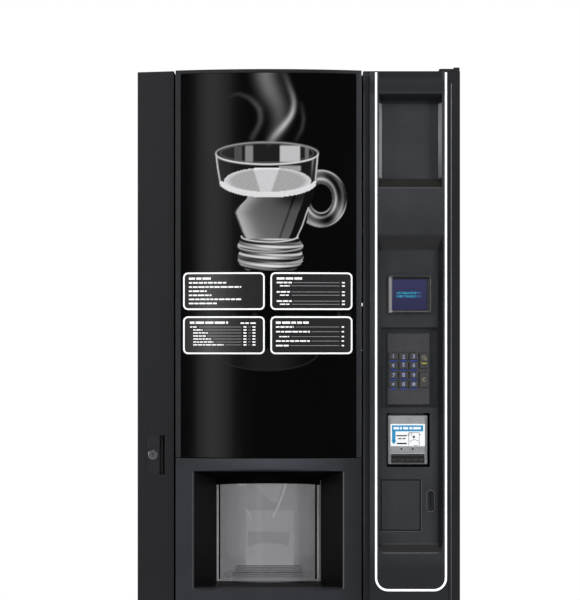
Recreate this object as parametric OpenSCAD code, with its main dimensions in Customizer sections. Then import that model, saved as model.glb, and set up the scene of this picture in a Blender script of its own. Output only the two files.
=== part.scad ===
// Full-height hot drink vending machine: a steel cabinet, one full-size hinged front door with a
// bowed display, a cup station behind a turning window, and a money column with a keypad.
// The front faces -Y, +X is to the viewer's right, and the origin is on the floor at the centre.

/* [Cabinet] */
// Width over the side panels
body_w = 740; // [738:1:742]
// Height of the cabinet top above the floor
body_h = 1828; // [1826:1:1840]
// Depth from the crown of the bowed display to the rear fittings
body_d = 800; // [798:1:810]
// Thickness of the cabinet sheet
sheet = 2; // [1.5:0.5:2.5]
// Height of the floor plate above the floor
floor_z = 97; // [90:1:98]

/* [Door] */
// Thickness of the door behind the flat columns
door_t = 80; // [78:1:82]
// Gap between the closed door and the cabinet
door_gap = 2; // [2:0.5:3]
// Distance of the hinge pin from the cabinet's right side
hinge_in = 10; // [9:0.5:11]
// Radius of the hinge pins
hinge_r = 4; // [3:0.5:4]
// Right edge of the left pillar
pillar_x1 = -285.5; // [-287:0.5:-284]
// Set-back of the left pillar at its outer edge
pillar_slant = 17; // [10:1:20]

/* [Display] */
// Left edge of the bowed centre module
centre_x0 = -281; // [-282:1:-280]
// Right edge of the bowed centre module
centre_x1 = 144; // [143:1:145]
// How far the bow stands out at its middle from its own edges
bow_sag = 24; // [18:1:26]
// How far the crown of the bow stands out from the flat columns
crown = 35; // [32:1:38]
// Lower edge of the display
display_z0 = 942; // [940:1:950]

/* [Cup station] */
// Front opening, left edge
open_x0 = -241; // [-244:1:-238]
// Front opening, right edge
open_x1 = 103; // [98:1:106]
// Front opening, lower edge
open_z0 = 642; // [640:1:646]
// Front opening, upper edge
open_z1 = 911; // [905:1:915]
// Outer radius of the turning window
window_r = 125; // [123:1:126]
// Half of the angle that the window covers
window_half = 65; // [62:1:66]
// Cup position, distance in front of the turret's cup hole
cup_y = -215; // [-216:1:-212]

/* [Money column] */
// Left edge of the column
column_x0 = 148.5; // [148:0.5:149]
// Depth of the long recess that holds the controls
recess_d = 18; // [16:1:18]
// Distance between key centres across
key_px = 23.6; // [23:0.1:24]
// Distance between key centres down
key_pz = 21.4; // [21:0.1:22]
// Travel of a key
key_travel = 2; // [1:0.5:2]

/* [Interior] */
// Height of the shelf that carries the canisters
shelf_z = 1320; // [1318:1:1330]
// Width of one canister
can_w = 112; // [108:1:113]
// Height of one canister
can_h = 280; // [240:1:290]

/* [Hidden] */
$fn = 64;

// Clearance of a running fit, and the gap kept between loose pieces
fit = 0.06;
gap = 0.5;
past = 1;

// Main planes
half_w = body_w / 2;
inner_x = half_w - sheet;
crown_y = -body_d / 2;
front_y = crown_y + crown;
door_back = front_y + door_t;
cab_front = door_back + door_gap;
fitting_l = 12;
cab_back = body_d / 2 - fitting_l;
door_z0 = floor_z + 3;
door_z1 = body_h - 2;
flange = 32;
flange_left = 7;

// Door frame channels lie in this band of depth, and the skins end in front of it
frame_y0 = door_back - 35;
skin_y1 = frame_y0 - 0.2;
hinge_x = half_w - hinge_in;
hinge_y = front_y + 25;
stile_x0 = half_w - 21;
column_x1 = stile_x0 - gap;

// The bow: one large circle in plan
bow_w = centre_x1 - centre_x0;
bow_cx = (centre_x0 + centre_x1) / 2;
bow_r = bow_w * bow_w / (8 * bow_sag) + bow_sag / 2;
bow_cy = crown_y + bow_r;
bow_edge_y = crown_y + bow_sag;
rim = 12;

// Cup station: the cup stands just left of the opening's middle
cup_x = (open_x0 + open_x1) / 2 - 1.75;
trim_y = front_y + 47;
guide_in = window_r - 12;
window_cy = trim_y + 6 + sqrt(window_r * window_r - (guide_in - 3.75) * (guide_in - 3.75));
window_z0 = open_z0 + 14;
window_z1 = open_z1 - 29;
flare_side = 52;
flare_y = crown_y + 14;
chamber_z0 = open_z0 - 6;
chamber_z1 = open_z1 - 11;
bezel_z1 = display_z0 - 1.5;

// Money column faces
skin = 4;
recess_y = front_y + recess_d;
recess_x0 = 182;
recess_x1 = 331;
recess_z0 = 722;
recess_z1 = 1451;
key_x0 = 218.3;
key_z0 = 1172.7;
key_w = 19.4;
key_h = 15.2;
tall_h = 34;
key_front = recess_y + 0.5;
key_len = 13;
bill_x0 = 206;
bill_x1 = 296;
bill_z0 = 925;
bill_z1 = 1036;
coin_x = 304.2;
coin_z = 839.5;
cup_x0 = 190;
cup_x1 = 310;
cup_z0 = 465;
cup_z1 = 560;
cup_back = front_y + 90;
flap_z = cup_z1 - 5;
flap_y = front_y + 14;

// Lock
lock_x = -334.7;
lock_z = 946.5;
lock_r = 9.5;
latch_x0 = -362;
latch_x1 = -342;
hook_z = [420, 960, 1500];

// Interior
turret_x = cup_x - 49.5;
turret_y = cup_y + 49.5;
turret_r = 112;
can_gap = 6;
can_x0 = 66;
can_y0 = -120;
can_y1 = 190;
auger_z = shelf_z + 25;
bowl_y = -150;
bowl_z0 = 1150;
brew_x = can_x0;
function can_x(i) = can_x0 + i * (can_w + can_gap);

// Box between two opposite corners
module slab(lo, hi) {
    translate(lo)
        cube(hi - lo);
}

// Cylinder along Y from y0 to y1
module rod_y(r, x, z, y0, y1) {
    translate([x, y0, z])
        rotate([-90, 0, 0])
            cylinder(r = r, h = y1 - y0);
}

// Cylinder along X from x0 to x1
module rod_x(r, y, z, x0, x1) {
    translate([x0, y, z])
        rotate([0, 90, 0])
            cylinder(r = r, h = x1 - x0);
}

// Outline in plan of part of the bow, between two radii and two sides
module bow_band(r_out, r_in, x0, x1) {
    intersection() {
        translate([bow_cx, bow_cy])
            difference() {
                circle(r = r_out, $fn = 256);
                circle(r = r_in, $fn = 256);
            }
        translate([x0, crown_y - past])
            square([x1 - x0, 90]);
    }
}

// Prism along Z from an outline in plan
module prism(z0, z1) {
    translate([0, 0, z0])
        linear_extrude(z1 - z0)
            children();
}

// Recess that narrows with depth: front box at y0, back box shrunk by the four insets;
// its sides carry on ahead of y0 by the lead
module flare(lo, hi, inset_l, inset_r, inset_b, inset_t, y0, depth, lead) {
    e = lead / depth;
    intersection() {
        prism(lo[1] - 15, hi[1] + 15)
            polygon([
                [lo[0] - inset_l * e, y0 - lead],
                [hi[0] + inset_r * e, y0 - lead],
                [hi[0] - inset_r, y0 + depth],
                [lo[0] + inset_l, y0 + depth]
            ]);
        translate([lo[0] - 25, 0, 0])
            rotate([90, 0, 90])
                linear_extrude(hi[0] - lo[0] + 50)
                    polygon([
                        [y0 - lead, lo[1] - inset_b * e],
                        [y0 - lead, hi[1] + inset_t * e],
                        [y0 + depth, hi[1] - inset_t],
                        [y0 + depth, lo[1] + inset_b]
                    ]);
    }
}

// U-shaped pressed channel, open to the rear; wide side given in X and Z
module channel(x0, x1, z0, z1, upright) {
    slab([x0, frame_y0, z0], [x1, frame_y0 + sheet, z1]);
    if (upright) {
        slab([x0, frame_y0, z0], [x0 + sheet, door_back, z1]);
        slab([x1 - sheet, frame_y0, z0], [x1, door_back, z1]);
    } else {
        slab([x0, frame_y0, z0], [x1, door_back, z0 + sheet]);
        slab([x0, frame_y0, z1 - sheet], [x1, door_back, z1]);
    }
}

// Floor plate with a folded skirt, anchor holes and the bores for the feet
foot_x = half_w - 60;
foot_y = 265;
anchor_x = 250;
anchor_y = 200;
skirt_z = 50;
module base_frame() {
    color("#25272a")
        difference() {
            union() {
                slab([-inner_x, cab_front, floor_z - 3], [inner_x, cab_back - sheet, floor_z]);
                slab([-inner_x, cab_front, skirt_z], [inner_x, cab_front + 3, floor_z]);
                slab([-inner_x, cab_back - sheet - 3, skirt_z], [inner_x, cab_back - sheet, floor_z]);
                for (s = [-1, 1])
                    translate([s * (inner_x - 1.5), 0, 0])
                        slab([-1.5, cab_front, skirt_z], [1.5, cab_back - sheet, floor_z]);
                for (sx = [-1, 1], sy = [-1, 1])
                    translate([sx * foot_x, sy * foot_y + 50, floor_z - 15])
                        cylinder(r = 16, h = 13);
            }
            for (sx = [-1, 1], sy = [-1, 1]) {
                translate([sx * foot_x, sy * foot_y + 50, skirt_z])
                    cylinder(r = 8 + fit, h = 60);
                translate([sx * anchor_x, sy * anchor_y + 50, skirt_z])
                    cylinder(r = 7, h = 60);
            }
        }
}

// Four screw feet with wide pads
module levelling_feet() {
    color("#8a8d90")
        for (sx = [-1, 1], sy = [-1, 1])
            translate([sx * foot_x, sy * foot_y + 50, 0]) {
                cylinder(r = 27, h = 9);
                cylinder(r = 13, h = 20, $fn = 6);
                cylinder(r = 8, h = floor_z - 0.5);
            }
}

// Side panel with a folded front edge
module side_panel(s, edge) {
    slab([s > 0 ? inner_x : -half_w, cab_front, skirt_z], [s > 0 ? half_w : -inner_x, cab_back, body_h]);
    translate([s > 0 ? inner_x - edge : -inner_x, 0, 0])
        slab([0, cab_front, floor_z + 1], [edge, cab_front + sheet, body_h - sheet - 1]);
}

// The left panel's edge is narrow, and carries three strike plates that the latch hooks catch behind
module left_side_panel() {
    color("#26282b") {
        side_panel(-1, flange_left);
        for (z = hook_z)
            slab([0.1 - inner_x, cab_front + sheet + 0.1, z - 45],
                 [latch_x1 - 4, cab_front + sheet + 3.1, z - 17]);
    }
}

module right_side_panel() {
    color("#26282b")
        side_panel(1, flange);
}

// Rear panel with two banks of ventilation slots and the holes for the fittings
water_x = -250;
power_x = -130;
supply_z = 220;
module rear_panel() {
    color("#9b9ea1")
        difference() {
            slab([-inner_x, cab_back - sheet, skirt_z], [inner_x, cab_back, body_h]);
            for (bank = [-1, 1], row = [0:7])
                translate([bank * 170, 0, 1180 + row * 24])
                    slab([-90, cab_back - sheet - past, 0], [90, cab_back + past, 8]);
            rod_y(13, water_x, supply_z, cab_back - 5, cab_back + 5);
            slab([power_x - 15, cab_back - 5, supply_z - 12], [power_x + 15, cab_back + 5, supply_z + 12]);
        }
}

module top_panel() {
    color("#26282b") {
        slab([-inner_x, cab_front, body_h - sheet], [inner_x, cab_back - sheet, body_h]);
        slab([-inner_x + flange + 1, cab_front, body_h - sheet - 22],
             [inner_x - flange - 1, cab_front + sheet, body_h - sheet]);
    }
}

// Upper shelf for the cup turret and canisters, and the lower shelf for the water tank
tank_z = 756;
module interior_shelves() {
    color("#b9bcbf") {
        difference() {
            union() {
                slab([-inner_x + gap, cab_front + 6, shelf_z - 4], [inner_x - gap, 310, shelf_z]);
                slab([-inner_x + gap, cab_front + 6, shelf_z - 22], [inner_x - gap, cab_front + 9, shelf_z]);
                for (x = [can_x(0) - can_w / 2 - 7, can_x(2) + can_w / 2 + 3])
                    slab([x, can_y1 + 10, shelf_z], [x + 4, can_y1 + 30, shelf_z + can_h + 12]);
            }
            translate([cup_x, cup_y, shelf_z - 30])
                cylinder(r = 44, h = 40);
            for (i = [0:2])
                translate([can_x(i), can_y0 - 36, shelf_z - 10])
                    cylinder(r = 20, h = 20);
            rod_x(3 + fit, can_y1 + 20, shelf_z + can_h + 5, -10, inner_x);
        }
        slab([-inner_x + gap, 140, tank_z - 4], [inner_x - gap, cab_back - sheet - gap, tank_z]);
        slab([-inner_x + gap, 140, tank_z - 24], [inner_x - gap, 143, tank_z]);
    }
}

// Top and bottom hinge brackets with their pins
module hinge_brackets() {
    color("#1f2022") {
        slab([half_w - 46, hinge_y - 14, body_h], [half_w, cab_front + 110, body_h + 5]);
        slab([half_w - 13, hinge_y - 14, body_h], [half_w, cab_front - 20, body_h + 8]);
        translate([hinge_x, hinge_y, body_h - 30])
            cylinder(r = hinge_r, h = 31);
        difference() {
            union() {
                slab([half_w - 46, hinge_y - 14, floor_z - 7], [half_w, cab_front, floor_z]);
                slab([half_w - 46, cab_front - 5, skirt_z], [half_w, cab_front, floor_z]);
            }
            slab([half_w - 60, hinge_y - 20, skirt_z - past], [half_w - 40, cab_front - 5, floor_z + past]);
        }
        translate([hinge_x, hinge_y, floor_z - 3])
            cylinder(r = hinge_r, h = 30);
    }
}

// Jacketed hot water tank with its lid and two pipe stubs
module water_tank() {
    color("#c9cbcd") {
        slab([60, 160, tank_z + 0.2], [330, 360, tank_z + 320]);
        slab([55, 155, tank_z + 320.2], [335, 365, tank_z + 336]);
        for (x = [110, 280])
            translate([x, 300, tank_z + 336.2])
                cylinder(r = 8, h = 60);
    }
}

// Brew cylinder on a hanger below the shelf, with the guide for the piston rod
brew_y = bowl_y;
brew_r = 40;
module brewer_housing() {
    color("#3b3e42")
        difference() {
            union() {
                translate([brew_x, brew_y, 1060])
                    cylinder(r = brew_r + 8, h = 130);
                translate([brew_x, brew_y, 1030])
                    cylinder(r = 12, h = 31);
                slab([brew_x - 30, brew_y + 44, 1060], [brew_x + 30, brew_y + 52, shelf_z - 4.5]);
                slab([brew_x - 25, brew_y - 14, 1200], [brew_x + 25, brew_y + 46, 1212]);
            }
            translate([brew_x, brew_y, 1068])
                cylinder(r = brew_r + fit, h = 125);
            translate([brew_x, brew_y, 1020])
                cylinder(r = 6, h = 60);
            translate([brew_x, brew_y, 1195])
                cylinder(r = 6 + fit, h = 30);
        }
}

// Brewer piston with its rod
module brewer_piston() {
    color("#d8dadc") {
        translate([brew_x, brew_y, 1160])
            cylinder(r = brew_r, h = 18);
        translate([brew_x, brew_y, 1177])
            cylinder(r = 6, h = 110);
        translate([brew_x, brew_y, 1286])
            cylinder(r = 12, h = 8);
    }
}

// Two whip chambers: open bowls that narrow to an outlet, with a bore for the whip shaft
module mixing_bowls() {
    color("#e4e2da")
        for (i = [1:2])
            difference() {
                translate([can_x(i), bowl_y, 0])
                    rotate_extrude()
                        polygon([
                            [9, bowl_z0], [9, 1166], [38, 1192], [38, 1288], [42, 1288],
                            [42, 1291], [35, 1291], [35, 1193.5], [6, 1167.5], [6, bowl_z0]
                        ]);
                rod_y(3 + fit, can_x(i), 1212, bowl_y + 5, bowl_y + 60);
            }
}

// Whip impeller with its shaft
module whipper(i) {
    rod_y(3, can_x(i), 1212, bowl_y - 2, bowl_y + 48);
    rod_y(6, can_x(i), 1212, bowl_y - 12, bowl_y - 2);
    for (a = [0, 90])
        translate([can_x(i), 0, 1212])
            rotate([0, a, 0])
                slab([-16, bowl_y - 12, -1.5], [16, bowl_y - 6, 1.5]);
}

module whipper_1() {
    color("#2f6db0")
        whipper(1);
}

module whipper_2() {
    color("#2f6db0")
        whipper(2);
}

// Gear motors: three behind the canisters and two hung under the shelf for the whippers
module drive_motors() {
    color("#4a4d52") {
        for (i = [0:2]) {
            slab([can_x(i) - 28, can_y1 + 34, shelf_z + 0.2], [can_x(i) + 28, can_y1 + 74, shelf_z + 56]);
            rod_y(18, can_x(i), auger_z, can_y1 + 73, can_y1 + 110);
            rod_y(6, can_x(i), auger_z, can_y1 + 14, can_y1 + 35);
        }
        for (i = [1:2]) {
            rod_y(20, can_x(i), 1212, bowl_y + 50, bowl_y + 110);
            slab([can_x(i) - 15, bowl_y + 60, 1225], [can_x(i) + 15, bowl_y + 64, shelf_z - 4.5]);
        }
    }
}

// Sheet metal box for the controller and power supply, with its lid
module control_box() {
    box_x0 = -inner_x + 0.5;
    color("#8f9396") {
        difference() {
            slab([box_x0, -60, shelf_z + 40], [box_x0 + 100, 190, 1740]);
            slab([box_x0 + 2, -58, shelf_z + 42], [box_x0 + 101, 188, 1738]);
        }
        slab([box_x0 + 100.2, -62, shelf_z + 38], [box_x0 + 102, 192, 1742]);
        slab([box_x0 + 10, 0, shelf_z + 60], [box_x0 + 26, 150, 1700]);
    }
}

// Water inlet valve with a male thread, and the mains inlet socket without its cord
inlet_r = 10.4;
module inlet_fittings() {
    color("#b08d3c") {
        rod_y(inlet_r, water_x, supply_z, cab_back - 30, body_d / 2);
        slab([water_x - 22, cab_back - 70, supply_z - 22], [water_x + 22, cab_back - 30, supply_z + 30]);
    }
    color("#17181a")
        difference() {
            union() {
                slab([power_x - 14, cab_back - 30, supply_z - 11], [power_x + 14, cab_back + 2, supply_z + 11]);
                slab([power_x - 24, cab_back, supply_z - 15], [power_x + 24, cab_back + 3, supply_z + 15]);
            }
            slab([power_x - 11, cab_back - 15, supply_z - 8], [power_x + 11, cab_back + 5, supply_z + 8]);
        }
}

// Point on the Bezier curve through a list of control points, by repeated halfway division
function bezier(p, t) =
    len(p) == 1 ? p[0] : bezier([for (i = [0:len(p) - 2]) p[i] * (1 - t) + p[i + 1] * t], t);

// Hose swept along a Bezier route; its rings stand square to the route
hose_sides = 10;
hose_rings = 28;
module hose(route, r) {
    rings = [
        for (k = [0:hose_rings])
            let (
                t = k / hose_rings,
                along = bezier(route, min(1, t + 0.01)) - bezier(route, max(0, t - 0.01)),
                across = cross(along, [0, 1, 0]) / norm(cross(along, [0, 1, 0])),
                up = cross(along, across) / norm(cross(along, across))
            )
                for (n = [0:hose_sides - 1])
                    let (a = 360 * n / hose_sides)
                        bezier(route, t) + r * (cos(a) * across + sin(a) * up)
    ];
    polyhedron(
        points = rings,
        faces = concat(
            [[for (n = [0:hose_sides - 1]) n]],
            [
                for (k = [0:hose_rings - 1], n = [0:hose_sides - 1])
                    let (a = k * hose_sides, m = (n + 1) % hose_sides)
                        each [
                            [a + n, a + hose_sides + n, a + hose_sides + m],
                            [a + n, a + hose_sides + m, a + m]
                        ]
            ],
            [[for (n = [hose_sides - 1:-1:0]) hose_rings * hose_sides + n]]
        )
    );
}

// Nozzle block on its hanger, three spouts and the hoses from the bowls and the brewer
module dispense_nozzles() {
    nozzle_z = 945;
    block_y = -135;
    port_z = nozzle_z + 12.1;
    color("#2a2c2f") {
        slab([cup_x - 30, block_y - 15, nozzle_z - 12], [cup_x + 30, block_y + 15, nozzle_z + 12]);
        slab([cup_x - 30, block_y + 14, nozzle_z - 12], [cup_x - 27, block_y + 34, shelf_z - 4.5]);
        for (dx = [-16, 0, 16])
            translate([cup_x + dx, block_y - 10, nozzle_z - 6])
                rotate([127, 0, 0])
                    cylinder(r = 5, h = 45);
    }
    color("#dcdcd6") {
        hose([[brew_x, brew_y, 1029.5], [brew_x, brew_y, 985], [10, brew_y, 985],
              [cup_x + 18, -142, 1005], [cup_x + 18, -142, port_z]], 6);
        hose([[can_x(1), bowl_y, bowl_z0 - 0.5], [can_x(1), bowl_y, 1100], [70, 60, 1090],
              [cup_x, -134, 1060], [cup_x, -134, port_z]], 6);
        hose([[can_x(2), bowl_y, bowl_z0 - 0.5], [can_x(2), bowl_y, 1090], [120, 120, 1080],
              [cup_x - 18, -127, 1080], [cup_x - 18, -127, port_z]], 6);
    }
}

// Powder canister: a bin open at the top, with an outlet collar and a bore for the auger
module canister(i) {
    difference() {
        union() {
            slab([can_x(i) - can_w / 2, can_y0, shelf_z + 0.3], [can_x(i) + can_w / 2, can_y1, shelf_z + can_h]);
            rod_y(20, can_x(i), auger_z, can_y0 - 24, can_y0 + 5);
        }
        slab([can_x(i) - can_w / 2 + 3, can_y0 + 3, shelf_z + 4],
             [can_x(i) + can_w / 2 - 3, can_y1 - 3, shelf_z + can_h + past]);
        rod_y(17, can_x(i), auger_z, can_y0 - 30, can_y0 + 10);
        rod_y(4 + fit, can_x(i), auger_z, can_y1 - 10, can_y1 + 10);
    }
}

module canister_1() {
    color("#d9d5c8")
        canister(0);
}

module canister_2() {
    color("#d9d5c8")
        canister(1);
}

module canister_3() {
    color("#d9d5c8")
        canister(2);
}

// Auger: a shaft carrying a row of tilted flights
flight_n = 15;
module auger(i) {
    rod_y(4, can_x(i), auger_z, can_y0 - 18, can_y1 + 12);
    for (k = [0:flight_n - 1])
        translate([can_x(i), can_y0 - 6 + k * 20, auger_z])
            rotate([-90, 12, 0])
                rotate([0, 12, 0])
                    cylinder(r = 14, h = 2, $fn = 48);
}

module auger_1() {
    color("#e8e6df")
        auger(0);
}

module auger_2() {
    color("#e8e6df")
        auger(1);
}

module auger_3() {
    color("#e8e6df")
        auger(2);
}

// Dust cover over the three canisters, hinged along its rear edge
cover_z = shelf_z + can_h + 5;
module canister_cover() {
    x0 = can_x(0) - can_w / 2 - 2;
    x1 = can_x(2) + can_w / 2 + 2;
    color("#46494d") {
        slab([x0, can_y0 - 4, cover_z - 1.5], [x1, can_y1 + 20, cover_z + 1.5]);
        slab([x0, can_y0 - 4, cover_z - 3.5], [x1, can_y0 - 1, cover_z + 1.5]);
        rod_x(5, can_y1 + 20, cover_z, x0, x1);
        rod_x(3, can_y1 + 20, cover_z, x0 - 4.5, x1 + 4.5);
    }
}

// Cup magazine: a hub with four T-shaped arms that hold four stacks of cups between them
module cup_turret() {
    color("#c4c7ca")
        translate([turret_x, turret_y, 0]) {
            prism(shelf_z + 8, 1780)
                for (a = [0:90:270])
                    rotate(a) {
                        translate([0, -1.5])
                            square([turret_r - 2, 3]);
                        translate([turret_r - 4, -16])
                            square([3, 32]);
                    }
            translate([0, 0, shelf_z + 0.3])
                cylinder(r = 14, h = 1782 - shelf_z);
        }
}

// Waste bucket with a bail lip along its rim
bucket = [-320, 90, -230, 150, 400];
module waste_bucket() {
    color("#5c6166")
        difference() {
            union() {
                slab([bucket[0], bucket[2], floor_z + 0.3], [bucket[1], bucket[3], bucket[4]]);
                slab([bucket[0] - 6, bucket[2] - 6, bucket[4] - 8], [bucket[1] + 6, bucket[3] + 6, bucket[4]]);
            }
            slab([bucket[0] + 3, bucket[2] + 3, floor_z + 4], [bucket[1] - 3, bucket[3] - 3, bucket[4] + past]);
        }
}

// Welded door frame: channels behind the skins and the hinge stile that shows at the front
// The rail behind the display's lower edge stops short of the money column, where the validator is.
rail_z = [door_z0 + 4, chamber_z0 - 42, door_z1 - 36];
middle_z = display_z0 + 6;
rail_h = 30;
module door_frame() {
    color("#222326")
        difference() {
            union() {
                channel(-318, -291, door_z0 + 4, door_z1 - 4, true);
                channel(119, 141, door_z0 + 4, door_z1 - 4, true);
                for (z = rail_z)
                    channel(-318, stile_x0 + 1, z, z + rail_h, false);
                channel(-318, 141, middle_z, middle_z + rail_h, false);
                slab([stile_x0, front_y, door_z0], [half_w, front_y + 3, door_z1]);
                slab([stile_x0, front_y, door_z0], [stile_x0 + sheet, door_back, door_z1]);
                slab([half_w - sheet, front_y, door_z0], [half_w, door_back, door_z1]);
                for (z = [door_z0, door_z1 - 30])
                    slab([stile_x0, front_y, z], [half_w, door_back, z + 30]);
            }
            translate([hinge_x, hinge_y, door_z0 - past])
                cylinder(r = hinge_r + fit, h = 29 + past);
            translate([hinge_x, hinge_y, door_z1 - 29])
                cylinder(r = hinge_r + fit, h = 30);
        }
}

// Left pillar skin with the lock boss and the finger pocket beside it
module pillar_plan(inset) {
    polygon([
        [-half_w + inset, front_y + pillar_slant + inset],
        [pillar_x1 - inset, front_y + inset],
        [pillar_x1 - inset, door_back + inset * 2],
        [-half_w + inset, door_back + inset * 2]
    ]);
}

module left_pillar() {
    color("#2c2c2f")
        difference() {
            union() {
                difference() {
                    prism(door_z0, door_z1)
                        pillar_plan(0);
                    prism(door_z0 + 3, door_z1 - 3)
                        pillar_plan(3);
                }
                intersection() {
                    prism(lock_z - 49, lock_z + 49)
                        pillar_plan(0);
                    slab([-353, front_y, lock_z - 49], [-303, front_y + 40, lock_z + 49]);
                }
            }
            slab([-317.5, front_y - 5, lock_z - 45], [-307, front_y + 34, lock_z + 45]);
            rod_y(lock_r + fit, lock_x, lock_z, front_y - 5, front_y + 50);
            slab([-half_w + 10, front_y + 74, door_z0 + 10], [pillar_x1 - 8, door_back + 10, door_z1 - 10]);
            // Notches for the door's rails
            for (z = concat(rail_z, [middle_z]))
                slab([pillar_x1 - 4, frame_y0 - 0.5, z - 0.5], [pillar_x1 + past, door_back + past, z + rail_h + 0.5]);
        }
}

// End plate of a bowed skin, from the bow back to the door frame
module bow_end(z) {
    prism(z, z + 3)
        bow_band(bow_r, bow_r - 30, centre_x0, centre_x1);
    slab([centre_x0, bow_edge_y + 2, z], [centre_x1, skin_y1, z + 3]);
}

// Bowed surround of the display: two legs and a top rail, open at the foot
module centre_frame() {
    color("#2b2d30")
        difference() {
            union() {
                prism(display_z0, door_z1)
                    bow_band(bow_r, bow_r - rim, centre_x0, centre_x1);
                bow_end(door_z1 - 3);
                slab([centre_x0, bow_edge_y + 2, display_z0], [centre_x0 + 3, skin_y1, door_z1]);
                slab([centre_x1 - 3, bow_edge_y + 2, display_z0], [centre_x1, skin_y1, door_z1]);
            }
            slab([centre_x0 + rim, crown_y - past, display_z0 - past],
                 [centre_x1 - rim, crown_y + 60, door_z1 - 8]);
        }
}

// Bowed gloss pane of the display
module display_panel() {
    color("#08090a")
        prism(display_z0 + gap, door_z1 - 8 - gap)
            bow_band(bow_r - 1.5, bow_r - 6.5, centre_x0 + rim + gap, centre_x1 - rim - gap);
}

// Lower bowed fascia with the flared opening of the cup station
module station_bezel() {
    lo = [open_x0, open_z0];
    hi = [open_x1, open_z1];
    color("#3a3c40")
        difference() {
            union() {
                prism(door_z0, bezel_z1)
                    bow_band(bow_r, bow_r - 4, centre_x0, centre_x1);
                slab([centre_x0, bow_edge_y + 2, door_z0], [centre_x0 + 3, skin_y1, bezel_z1]);
                slab([centre_x1 - 3, bow_edge_y + 2, door_z0], [centre_x1, skin_y1, bezel_z1]);
                bow_end(door_z0);
                bow_end(bezel_z1 - 3);
                intersection() {
                    flare(lo - [4, 4], hi + [4, 4],
                          flare_side, flare_side, 10, 25, flare_y, trim_y - flare_y, 20);
                    prism(door_z0, bezel_z1)
                        bow_band(bow_r, bow_r - 150, centre_x0, centre_x1);
                }
            }
            flare(lo, hi, flare_side, flare_side, 10, 25, flare_y, trim_y - flare_y + 0.01, 20);
            slab([lo[0] + flare_side, trim_y - past, lo[1] + 10], [hi[0] - flare_side, trim_y + past, hi[1] - 25]);
        }
}

// Two bright metal strips beside the window
module window_guides() {
    color("#9da1a6")
        for (s = [-1, 1])
            translate([cup_x + s * (guide_in + 3.5), 0, 0])
                slab([-2.75, trim_y + 0.2, chamber_z0 + 4.5], [2.75, trim_y + 11, chamber_z1 - 6]);
}

// Round chamber behind the window with its floor, drip ring, back plate and cup holder
chamber_r = window_r + 9;
module cup_chamber() {
    hold_z = 722;
    color("#1b1c1e")
        difference() {
            union() {
                difference() {
                    translate([cup_x, window_cy, chamber_z0])
                        cylinder(r = chamber_r, h = chamber_z1 - chamber_z0, $fn = 128);
                    translate([cup_x, window_cy, chamber_z0 + 4])
                        cylinder(r = chamber_r - 3, h = chamber_z1 - chamber_z0, $fn = 128);
                }
                translate([cup_x, window_cy, chamber_z0 + 3])
                    difference() {
                        cylinder(r = 104, h = 18);
                        translate([0, 0, -past])
                            cylinder(r = 100, h = 30);
                    }
            }
            slab([cup_x - 200, crown_y, chamber_z0 - past], [cup_x + 200, trim_y + 12, chamber_z1 + past]);
        }
    color("#55585c") {
        slab([cup_x - 55, window_cy + 86, chamber_z0 + 4], [cup_x + 60, window_cy + 90, 800]);
        difference() {
            union() {
                translate([cup_x, cup_y, hold_z])
                    cylinder(r = 49, h = 28);
                slab([cup_x - 49, cup_y, hold_z], [cup_x + 49, window_cy + 88, hold_z + 28]);
            }
            translate([cup_x, cup_y, hold_z - past])
                cylinder(r = 43, h = 30);
            slab([cup_x - 60, cup_y - 60, hold_z - past], [cup_x + 60, cup_y - 22, hold_z + 40]);
        }
    }
}

// Turning window: part of a clear cylinder that swings round inside the chamber
module cup_window() {
    color([0.5, 0.5, 0.52, 0.55])
        difference() {
            translate([cup_x, window_cy, window_z0])
                cylinder(r = window_r, h = window_z1 - window_z0, $fn = 128);
            translate([cup_x, window_cy, window_z0 - past])
                cylinder(r = window_r - 3, h = window_z1 - window_z0 + 2 * past, $fn = 128);
            prism(window_z0 - past, window_z1 + past)
                translate([cup_x, window_cy])
                    polygon([
                        [0, 0],
                        400 * [-sin(window_half), -cos(window_half)],
                        [-400, 400],
                        [400, 400],
                        400 * [sin(window_half), -cos(window_half)]
                    ]);
        }
}

// Drip grille: a slotted round plate cut straight at the front and the back
module drip_grille() {
    z = chamber_z0 + 21.5;
    color("#8e9296")
        difference() {
            translate([cup_x, window_cy, z])
                cylinder(r = 106, h = 4);
            slab([cup_x - 120, window_cy + 78, z - past], [cup_x + 120, window_cy + 130, z + 6]);
            slab([cup_x - 120, window_cy - 130, z - past], [cup_x + 120, trim_y + 16, z + 6]);
            for (k = [-2:4])
                slab([cup_x - 70, window_cy - 6 + k * 16, z - past], [cup_x + 70, window_cy + 2 + k * 16, z + 6]);
        }
}

// Money column: a moulded fascia with an upper recess, a long control recess and a change cup
module pocket_shell(x0, x1, z0, z1, y0, y1) {
    slab([x0 - 2.5, y0, z0 - 2.5], [x1 + 2.5, y1 + 2.5, z1 + 2.5]);
}

module control_recess(grow) {
    r = 25;
    intersection() {
        flare([recess_x0 - grow, recess_z0 - grow], [recess_x1 + grow, recess_z1 + grow],
              9, 11, 18, 35, front_y, recess_d + grow, grow > 0 ? 0 : past);
        translate([0, front_y + 60, 0])
            rotate([90, 0, 0])
                linear_extrude(70)
                    union() {
                        translate([recess_x0 - grow, recess_z0 - grow + r])
                            square([recess_x1 - recess_x0 + 2 * grow, recess_z1 - recess_z0 + 2 * grow]);
                        translate([recess_x0 - grow + r, recess_z0 - grow])
                            square([recess_x1 - recess_x0 + 2 * grow - 2 * r, r + 1]);
                        for (x = [recess_x0 - grow + r, recess_x1 + grow - r])
                            translate([x, recess_z0 - grow + r])
                                circle(r = r);
                    }
    }
}

module upper_recess(grow) {
    flare([184 - grow, 1561 - grow], [329 + grow, 1774 + grow], 9, 7, 22, 12, front_y, 28 + grow,
          grow > 0 ? 0 : past);
}

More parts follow.
